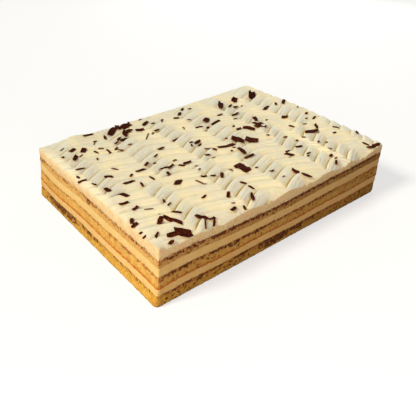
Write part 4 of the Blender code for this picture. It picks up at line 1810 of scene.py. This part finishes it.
# Smaller shavings that lie between them, in the same order of values.
SMALL_SHAVINGS: Laid = (
    (41, 50, 7, 1.6, 65, 0), (41, 43, 5.2, 1.3, 25, 0), (38.5, 29.5, 7.5, 2.2, -42, 0),
    (55.5, 6, 6, 2.2, 0, 0), (47.8, 4.5, 9.5, 1.2, 55, 0), (56.2, 3.4, 7.5, 1.8, 46, 0),
    (100, 57, 5, 1.8, -8, 0), (113, 21, 6, 2.2, -70, 0), (114, 32, 5.5, 2.2, -40, 0),
    (148, 30, 4.4, 2, 5, 0), (270, 53, 7, 1.7, -40, 0), (266, 11, 7, 2, -65, 0),
    (278, 31, 5, 3, 65, 0), (3.7, 129.7, 4, 2, -70, 0), (42, 85, 5, 2.2, 78, 0),
    (71, 85, 5, 3, 80, 0), (81, 120, 6, 1.5, 28, 0), (95, 131, 7, 1.8, -5, 0),
    (132, 102, 8, 2, -15, 0), (134, 95, 4.5, 3, -60, 0), (125, 121, 4, 2.2, 0, 0),
    (122, 116, 4, 1.8, 60, 0), (128, 111, 6, 2, 25, 0), (154, 92, 6.5, 5, -10, 0),
    (212, 102, 5, 2.2, 25, 0), (271, 84, 6.5, 2.2, 18, 0), (270, 95, 4.5, 3, 30, 0),
    (242, 133, 5, 3, -15, 0), (12.5, 142, 9, 1.5, 3, 0), (51, 157, 6.5, 2, -80, 0),
    (63, 185, 8, 2.4, 72, 0), (154, 144, 8.5, 2.2, -10, 0), (223, 162, 4.5, 4, 20, 0),
    (194.5, 157, 6.5, 2.4, -10, 0), (89.5, 90, 5.5, 2.4, -45, 0), (160, 107, 7, 2, 60, 0),
    (217.5, 17, 4.5, 3.2, 15, 0), (236, 86, 5.5, 2.2, -50, 0), (225, 113, 5, 1.8, 20, 0),
    (91.5, 60, 5.5, 2.6, -30, 0), (163, 140, 4, 3, 40, 0), (156, 134, 6, 1.8, 40, 0),
    (102, 202, 4, 2.5, 60, 0), (10, 16.5, 5, 1.8, 22, 0), (40, 162, 5, 2, -70, 0),
    (61.5, 152, 5.5, 1.8, -30, 0), (59, 156, 4.5, 2.5, 42, 0), (67, 169, 6.5, 1.8, 28, 0),
    (12.8, 2, 5, 3, 20, 0), (54, 87, 6, 1.8, -72, 0), (42.5, 103, 4, 2, 25, 0),
    (9, 110, 3.5, 2, -30, 0), (20.5, 25, 3.5, 1.6, -5, 0), (7, 12.5, 3, 1.8, 35, 0),
    (0.9, 19.8, 3, 2.2, 0, 0), (1.3, 25, 2.5, 1.8, 0, 0), (28, 37, 2.6, 1.6, -10, 0),
    (70.5, 34, 5, 2.2, 22, 0), (88, 2.6, 4, 2, 65, 0), (71, 107.5, 3, 1.8, 10, 0),
    (9.5, 171, 2.8, 2.2, 0, 0), (49, 151, 2.6, 1.8, 0, 0), (34, 149, 2.4, 2, 40, 0),
    (54, 165.5, 2.8, 1.4, -10, 0), (121, 90, 5, 2.6, -10, 0), (147, 84, 2.4, 1.8, 0, 0),
    (151.5, 86, 2.6, 1.6, -20, 0), (109.5, 166, 2.2, 2, 0, 0), (136.5, 188, 3, 2, 10, 0),
    (184.5, 123, 2.8, 2.2, 30, 0), (216.5, 60.5, 3, 2, 10, 0), (277, 114, 3, 2.5, 30, 0),
    (227, 26, 2.8, 2.2, -40, 0), (258.5, 45.5, 4, 2.2, -10, 0), (202, 32.5, 5.5, 1.8, 5, 0),
    (197.5, 29, 3.5, 1.6, 10, 0), (141, 43, 3.2, 1.6, -10, 0), (189, 128, 3, 1.8, 0, 0),
    (178, 191.5, 4, 1.8, 0, 0), (123, 186, 4, 2, 10, 0), (51, 184, 3.6, 1.8, 0, 0),
    (199, 85.5, 2.8, 2, -30, 0), (262, 87.5, 2.6, 2, 0, 0), (213, 73.5, 5, 1.8, 5, 0),
    (229, 42.5, 4, 1.8, 25, 0), (187, 41, 3, 1.6, 0, 0),
)

# Thin scrapings, paler than the rest because the light shines through them.
THIN_SCRAPINGS: Laid = (
    (23.5, 47, 7, 1.2, -25, 0), (84.5, 54.5, 12, 1.8, -62, 0), (119, 54.5, 5.5, 2, -83, 0),
    (36.5, 121.5, 6, 1.8, -55, 0), (91, 103, 4, 1.8, 0, 0), (47, 164, 5, 2, -35, 0),
    (49, 169, 5, 1.8, -30, 0), (76, 158, 5, 1.6, 0, 0), (48, 180, 7, 1.2, 55, 0),
    (99, 161, 10, 1.4, 40, 0), (140.5, 154, 9, 1.4, 65, 0), (102, 82.5, 4, 1.2, -15, 0),
    (97, 73, 3.5, 1.8, 20, 0), (122, 82, 4, 1.5, 10, 0), (149.5, 16.5, 3.5, 1.2, 5, 0),
    (221, 12.7, 3.5, 1.6, -45, 0), (215.5, 9.7, 4, 1.8, 0, 0), (234.5, 36.5, 3.5, 1.6, 10, 0),
    (201.5, 138.7, 4.5, 1.6, -25, 0), (225, 59, 4, 2, -40, 0), (106.5, 162, 4.5, 1.8, 45, 0),
    (103.5, 167.5, 3.5, 1.6, 50, 0), (16.5, 187, 6, 1.2, 30, 0), (58.5, 147.5, 6, 1.2, -20, 0),
    (68.5, 81, 4, 1.4, 5, 0), (86, 64.5, 3.5, 1.2, -15, 0), (84.5, 12.5, 3.5, 1, -25, 0),
    (249, 79, 4.5, 1.6, -20, 0), (246, 56.5, 5, 1.2, 15, 0), (25, 164, 5, 1.6, 25, 0),
    (38.5, 128, 4, 1.2, -30, 0), (92, 126.5, 5, 1.6, -12, 0), (117, 202, 4, 2, 0, 0),
    (231, 160, 3, 1.8, 0, 0), (181, 38, 2.5, 1.5, 0, 0), (160, 169, 5, 1.6, -10, 0),
    (133, 183, 5, 1.6, 50, 0), (82, 9.3, 4.5, 1.2, -20, 0),
)


@dataclass
class ChocolateShavings:
    """Bent flakes of chocolate that lie on the ridges, a little sunk in them."""

    cake: CakeShape
    comb: Comb
    grid: tuple[int, int] = (8, 4)
    sink: float = 0.9 * MM
    stiffness: float = 0.6
    bows: tuple[float, ...] = (0.3 * MM, 0.8 * MM, 0.2 * MM)
    thickness: float = 0.55 * MM
    lift: float = 0.95 * MM
    long_shaving: float = 10.5
    long_stations: tuple[Span, ...] = ((-1.0, 0.62), (-0.35, 1.0), (0.35, 0.92), (1.0, 0.5))
    short_stations: tuple[Span, ...] = ((-1.0, 0.7), (0.1, 1.0), (1.0, 0.6))
    first_seed: int = 1000
    edge_knots: int = 5
    ragged: Span = (0.84, 1.14)
    slant: float = 0.7
    blunt: float = 0.35
    cupping: Span = (-0.10, 0.22)
    clearance: float = 0.45 * MM

    def build(self, name: str, laid: Laid, first: int, material: Material) -> Piece:
        """Lay shavings of one kind and dress them.

        Args:
            name: Name of the piece that they become.
            laid: Their places and sizes.
            first: Number of the first of them.
            material: Their finish.

        Returns:
            One object with all of them.
        """
        start_clean()
        columns, rows = self.grid
        bpy.ops.mesh.primitive_grid_add(x_subdivisions=columns, y_subdivisions=rows, size=2)
        flat = bpy.context.object
        plan = places_of(flat).astype(float)
        copies = []
        for number, shaving in enumerate(laid, first):
            mesh = flat.data.copy()
            put_places(mesh, self.shape(plan, number, *shaving))
            copy = bpy.data.objects.new(f"shaving_{number:03d}", mesh)
            bpy.context.scene.collection.objects.link(copy)
            copies.append(copy)
        bpy.data.objects.remove(flat, do_unlink=True)
        return self.join(copies, name, material)

    def join(self, copies: list[Piece], name: str, material: Material) -> Piece:
        """Join sheets into one piece and give them their thickness.

        Args:
            copies: The sheets.
            name: The joined piece's name.
            material: Its finish.

        Returns:
            The piece.
        """
        start_clean()
        for copy in copies:
            copy.select_set(True)
        bpy.context.view_layer.objects.active = copies[0]
        bpy.ops.object.join()
        piece = bpy.context.object
        piece.name = name
        piece.data.name = name
        solid = piece.modifiers.new("thickness", "SOLIDIFY")
        solid.thickness = self.thickness
        solid.offset = 0.0
        bpy.ops.object.modifier_apply(modifier=solid.name)
        edit(piece)
        face_outwards()
        dress(piece, SHAVING_SHADING, material)
        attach(piece, "root")
        return piece

    def resting(self, foot: np.ndarray, reach: np.ndarray) -> np.ndarray:
        """Find where cross lines come to rest, with one end of each just sunk in the cream.

        Args:
            foot: Middle of each cross line.
            reach: From its middle to its far end.

        Returns:
            Height of each line's middle.
        """
        ends = [self.comb.cream_height(foot[:, 0] + way * reach[:, 0], foot[:, 1] + way * reach[:, 1])
                - way * reach[:, 2] for way in (-1, 1)]
        return np.maximum(*ends) - self.sink

    def shape(self, plan: np.ndarray, number: int, along: float, across: float, length: float,
              width: float, heading: float, roll: float) -> np.ndarray:
        """Bend a flat sheet into one shaving and lay it on the ridges.

        Args:
            plan: The flat sheet, from -1 to 1 both ways.
            number: Number of the shaving, which settles its bow and its ragged edge.
            along: Place from the top's left end, in millimetres.
            across: Place from the top's front edge, in millimetres.
            length: Length in millimetres.
            width: Width in millimetres.
            heading: Direction of its length, in degrees.
            roll: Turn about its length, in degrees.

        Returns:
            The shaving's points.
        """
        turn, tilt = math.radians(heading), math.radians(roll)
        run = np.array([math.cos(turn), math.sin(turn), 0.0])
        side = np.array([-math.sin(turn) * math.cos(tilt), math.cos(turn) * math.cos(tilt),
                         math.sin(tilt)])
        up = np.cross(run, side)
        half, half_width = length * MM / 2, width * MM / 2
        centre = np.array([self.cake.left + along * MM, self.cake.front + across * MM, 0.0])
        stations = self.long_stations if length > self.long_shaving else self.short_stations
        shares, breadths = np.array(stations).T
        rests = self.resting(centre + shares[:, None] * half * run,
                             breadths[:, None] * half_width * side)
        slope = (rests[-1] + rests[-2] - rests[0] - rests[1]) / 2 / (2 * half)
        stiff = rests.mean() + slope * shares * half
        middle = rests + self.stiffness * (stiff - rests)
        middle = middle + self.bows[number % len(self.bows)] * shares ** 2
        draw = random.Random(self.first_seed + number)
        knots = np.linspace(-1, 1, self.edge_knots)
        breadth = self.blunt + (1 - self.blunt) * np.interp(knots, shares, breadths)
        near, far = (breadth * [draw.uniform(*self.ragged) for _ in knots] for _ in range(2))
        wide = np.where(plan[:, 1] > 0, np.interp(plan[:, 0], knots, far),
                        np.interp(plan[:, 0], knots, near))
        slant = draw.uniform(-self.slant, self.slant) * width / length
        long = plan[:, 0] + slant * plan[:, 1]
        cup = draw.uniform(*self.cupping) * width * MM * plan[:, 1] ** 2
        points = centre + long[:, None] * half * run
        points = points + (plan[:, 1] * wide)[:, None] * half_width * side
        points[:, 2] += np.interp(plan[:, 0], shares, middle)
        points = points + (self.lift + cup)[:, None] * up
        clear = self.comb.cream_height(points[:, 0], points[:, 1]) + self.clearance
        points[:, 2] = np.maximum(points[:, 2], clear)
        return points


# Studio -----------------------------------------------------------------------


class LampKind(Enum):
    """What a lamp is in Blender's terms."""

    SUN = "SUN"
    PANEL = "AREA"


@dataclass(frozen=True)
class Lamp:
    """A light that faces the cake. Its width is in degrees for a sun, in metres for a panel."""

    name: str
    kind: LampKind
    place: Triple
    power: float
    colour: Triple
    width: float

    def add(self) -> None:
        """Add the light to the scene."""
        data = bpy.data.lights.new(self.name, self.kind.value)
        data.energy = self.power
        data.color = self.colour
        if self.kind is LampKind.SUN:
            data.angle = math.radians(self.width)
        else:
            data.size = self.width
        light = bpy.data.objects.new(self.name, data)
        light.location = self.place
        light.rotation_euler = Vector(self.place).to_track_quat("Z", "Y").to_euler()
        bpy.context.scene.collection.objects.link(light)


@dataclass(frozen=True)
class Studio:
    """Pale floor, soft light and the camera at the photograph's angle."""

    camera_place: Triple = (-0.29546, -0.33831, 0.28601)
    looks_along: Triple = (0.54125, 0.62475, -0.56279)
    right_of_view: Triple = (0.76876, -0.63882, 0.03019)
    focal_pixels: float = 500.4
    frame_pixels: float = 416
    sensor: float = 36
    sees_from: float = 0.01
    sees_to: float = 100.0
    floor_size: float = 14.0
    floor_clouds: float = 3.0
    floor_greys: Span = (0.44, 0.46)
    floor_glow: float = 0.6
    floor_bounce: Colour = (0.28, 0.27, 0.25, 1.0)
    sky: Colour = (0.84, 0.94, 1.0, 1.0)
    sky_strength: float = 0.23
    lamps: tuple[Lamp, ...] = (
        Lamp("window", LampKind.SUN, (-1.0, 0.25, 0.9), 2.40, (1.0, 0.94, 0.80), 14),
        Lamp("window_near", LampKind.PANEL, (-0.85, 0.05, 0.50), 0.9, (1.0, 0.97, 0.86), 0.45),
        Lamp("fill", LampKind.PANEL, (-0.42, -0.60, 0.36), 2.3, (1.0, 0.80, 0.66), 0.36),
        Lamp("back_fill", LampKind.PANEL, (0.75, 0.60, 0.35), 1.5, (1.0, 0.95, 0.88), 0.60))

    def build(self) -> None:
        """Set up the floor, the light and the camera."""
        self.lay_floor()
        self.light()
        self.set_camera()

    def set_camera(self) -> None:
        """Add the camera and make it the scene's own."""
        forward = Vector(self.looks_along).normalized()
        right = Vector(self.right_of_view)
        right = (right - forward * right.dot(forward)).normalized()
        turn = Matrix((right, right.cross(forward), -forward)).transposed()
        data = bpy.data.cameras.new("camera")
        data.sensor_width = self.sensor
        data.lens = self.focal_pixels / self.frame_pixels * self.sensor
        data.clip_start = self.sees_from
        data.clip_end = self.sees_to
        camera = bpy.data.objects.new("camera", data)
        bpy.context.scene.collection.objects.link(camera)
        camera.matrix_world = Matrix.Translation(self.camera_place) @ turn.to_4x4()
        bpy.context.scene.camera = camera

    def lay_floor(self) -> None:
        """Add the floor, which looks pale and throws back less light than it shows."""
        start_clean()
        bpy.ops.mesh.primitive_plane_add(size=self.floor_size)
        floor = bpy.context.object
        floor.name = "floor"
        material = bpy.data.materials.new("floor")
        material.use_nodes = True
        material.node_tree.nodes.clear()
        sheet = NodeSheet(material.node_tree)
        clouds = sheet.noise(sheet.place(), self.floor_clouds, detail=1.0)
        seen = sheet.mix(clouds, *((grey, grey, grey, 1.0) for grey in self.floor_greys))
        paper = sheet.add("ShaderNodeBsdfDiffuse", Color=seen)
        glow = sheet.add("ShaderNodeEmission", Color=(1.0, 1.0, 1.0, 1.0), Strength=self.floor_glow)
        lit = sheet.add("ShaderNodeAddShader")
        sheet.feed(lit.inputs[0], paper.outputs[0])
        sheet.feed(lit.inputs[1], glow.outputs[0])
        dim = sheet.add("ShaderNodeBsdfDiffuse", Color=self.floor_bounce)
        seen_by_camera = sheet.add("ShaderNodeLightPath").outputs["Is Camera Ray"]
        chosen = sheet.add("ShaderNodeMixShader", Fac=seen_by_camera)
        sheet.feed(chosen.inputs[1], dim.outputs[0])
        sheet.feed(chosen.inputs[2], lit.outputs[0])
        sheet.add("ShaderNodeOutputMaterial", Surface=chosen.outputs[0])
        floor.data.materials.append(material)

    def light(self) -> None:
        """Add the window light, the soft fill and the pale surroundings."""
        for lamp in self.lamps:
            lamp.add()
        world = bpy.data.worlds.new("surroundings")
        world.use_nodes = True
        NodeSheet(world.node_tree).fill(world.node_tree.nodes["Background"], Color=self.sky,
                                        Strength=self.sky_strength)
        scene = bpy.context.scene
        scene.world = world
        scene.view_settings.view_transform = "Standard"
        scene.view_settings.look = "None"


# The cake ---------------------------------------------------------------------


# Dark patches by layer and side: start and end along the side, low and high in the layer,
# density. They are read off the two sides that show, and alike on the others.
STAINS = {
    "sponge_bottom": {
        Side.FRONT: (
            (0.38, 0.53, 0.26, 1.0, 1.4), (0.50, 0.61, 0.48, 1.02, 1.15), (0.0, 0.38, 0.74, 1.05, 0.95),
            (0.0, 0.10, 0.72, 1.05, 1.1), (0.12, 0.16, 0.55, 1.05, 1.25), (0.22, 0.37, 0.66, 1.05, 1.1),
            (0.55, 0.69, 0.66, 1.05, 1.1), (0.0, 1.0, 0.0, 1.0, 0.42)),
        Side.LEFT: (
            (0.08, 0.39, 0.36, 0.97, 1.2), (0.16, 0.30, 0.4, 0.95, 1.35), (0.38, 0.62, 0.62, 1.0, 0.95),
            (0.60, 1.0, 0.80, 1.05, 0.7), (0.0, 0.3, 0.0, 1.0, 0.4)),
        Side.BACK: (
            (0.12, 0.30, 0.45, 1.0, 1.1), (0.55, 0.72, 0.6, 1.0, 0.9), (0.0, 1.0, 0.0, 1.0, 0.3)),
        Side.RIGHT: ((0.2, 0.5, 0.5, 1.0, 1.0), (0.0, 1.0, 0.0, 1.0, 0.3)),
    },
    "sponge_middle": {
        Side.FRONT: (
            (0.0, 0.12, 0.68, 1.05, 1.2), (0.08, 0.115, 0.6, 1.1, 1.35), (0.22, 0.31, 0.60, 1.05, 1.2),
            (0.12, 0.45, 0.78, 1.05, 1.15), (0.33, 0.40, 0.66, 1.05, 1.2), (0.85, 0.91, 0.7, 1.05, 0.9),
            (0.0, 0.8, 0.80, 1.05, 0.95), (0.0, 1.0, 0.0, 1.0, 0.3)),
        Side.BACK: ((0.35, 0.5, 0.6, 1.0, 1.0), (0.8, 0.92, 0.7, 1.0, 0.9)),
        Side.RIGHT: ((0.55, 0.8, 0.65, 1.0, 0.95),),
    },
    "sponge_top": {
        Side.FRONT: (
            (0.0, 0.28, 0.5, 1.05, 0.9), (0.15, 0.45, 0.6, 1.05, 1.15), (0.40, 0.98, 0.62, 1.05, 1.2),
            (0.0, 1.0, 0.0, 1.0, 0.4)),
        Side.LEFT: (
            (0.38, 1.0, 0.72, 1.05, 0.5), (0.46, 0.50, 0.2, 1.0, 0.95), (0.0, 0.06, 0.3, 1.0, 0.7)),
        Side.BACK: ((0.1, 0.6, 0.5, 1.0, 0.8), (0.6, 1.0, 0.75, 1.0, 0.7)),
        Side.RIGHT: ((0.0, 0.45, 0.5, 1.0, 0.8), (0.45, 1.0, 0.8, 1.0, 0.7)),
    },
}

# How much painted shade each layer has on its sides: at the front's left and right end, at the left
# side's far end, and on the two hidden sides.
PAINTED_SIDE_SHADE = {
    "sponge_bottom": (0.22, 0.62, 0.26, 0.3),
    "cream_lower": (0.12, 0.38, 0.34, 0.1),
    "sponge_middle": (0.10, 0.36, 0.06, 0.2),
    "cream_middle": (0.05, 0.44, 0.10, 0.1),
    "sponge_top": (0.06, 0.70, 0.0, 0.3),
}


def cake_layer(cake: CakeShape, below: str, finish: SpongeFinish | CutCreamFinish, rows: int,
               **relief: float) -> CakeLayer:
    """Set up a layer with its stains and its painted side shade.

    Args:
        cake: The cake's shape.
        below: The layer under it.
        finish: Its finish, which has the layer's name.
        rows: Number of rings between its rims.
        **relief: Sizes of its relief that differ from the usual.

    Returns:
        The layer.
    """
    node = finish.name
    food = Food.SPONGE if isinstance(finish, SpongeFinish) else Food.CREAM
    stains = tuple(Stain(side, *patch) for side, patches in STAINS.get(node, {}).items()
                   for patch in patches)
    near, far, far_left, hidden = PAINTED_SIDE_SHADE[node]
    painted_side_shades = (PaintedSideShade(Side.FRONT, near, far), PaintedSideShade(Side.LEFT, far_left, 0.0),
             PaintedSideShade(Side.BACK, hidden, hidden), PaintedSideShade(Side.RIGHT, hidden, hidden))
    return CakeLayer(cake, node, below, food, finish, rows, stains, painted_side_shades, **relief)


def cake_layers(cake: CakeShape) -> tuple[CakeLayer, ...]:
    """Set up the layers under the top cream.

    Args:
        cake: The cake's shape.

    Returns:
        The layers, from the foot up.
    """
    bottom = SpongeFinish("sponge_bottom", srgb(244, 194, 88), srgb(208, 152, 58),
                          srgb(150, 106, 38), soaked_to=0.06, skin_from=0.66)
    middle = SpongeFinish("sponge_middle", srgb(243, 194, 103), srgb(216, 163, 81),
                          srgb(206, 112, 26), soaked_to=0.20, skin_from=0.66)
    top = SpongeFinish("sponge_top", srgb(244, 197, 119), srgb(218, 167, 91),
                       srgb(212, 160, 76), soaked_to=0.08, skin_from=0.42)
    lower_cream = CutCreamFinish("cream_lower", srgb(249, 210, 140), srgb(240, 192, 114))
    middle_cream = CutCreamFinish("cream_middle", srgb(250, 214, 144), srgb(242, 198, 122))
    spread = {"bulge": 0.15 * MM, "rough_size": 6 * MM, "rough_height": 0.18 * MM,
              "fine_height": 0.06 * MM}
    return (cake_layer(cake, "foot", bottom, rows=20),
            cake_layer(cake, "sponge_bottom", lower_cream, rows=10, **spread),
            cake_layer(cake, "cream_lower", middle, rows=18, foot_band=0.25 * MM),
            cake_layer(cake, "sponge_middle", middle_cream, rows=12, **spread),
            cake_layer(cake, "cream_middle", top, rows=12))


def report(piece: Piece) -> None:
    """Log a piece's name and size."""
    LOG.info("%s: %d faces", piece.name, len(piece.data.polygons))


def main() -> None:
    """Build the cake over its solids, then the studio."""
    logging.basicConfig(level=logging.INFO, format="%(message)s")
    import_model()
    cake = CakeShape()
    comb = Comb(cake)
    effects = Effects()
    for layer in cake_layers(cake):
        report(layer.build(effects))
    report(CombedCream(cake, comb).build(CombedCreamFinish().make(effects)))
    shavings = ChocolateShavings(cake, comb)
    report(shavings.build("chocolate_shavings", LARGE_SHAVINGS + SMALL_SHAVINGS, 0,
                          ChocolateFinish().make()))
    scrapings = ChocolateShavings(cake, comb, thickness=0.4 * MM, lift=0.8 * MM,
                                  bows=(0.0, 0.3 * MM))
    thin = ChocolateFinish("thin_chocolate", srgb(112, 70, 46), srgb(150, 104, 70))
    report(scrapings.build("thin_scrapings", THIN_SCRAPINGS, FIRST_SCRAPING, thin.make()))
    Studio().build()


if __name__ == "__main__":
    main()
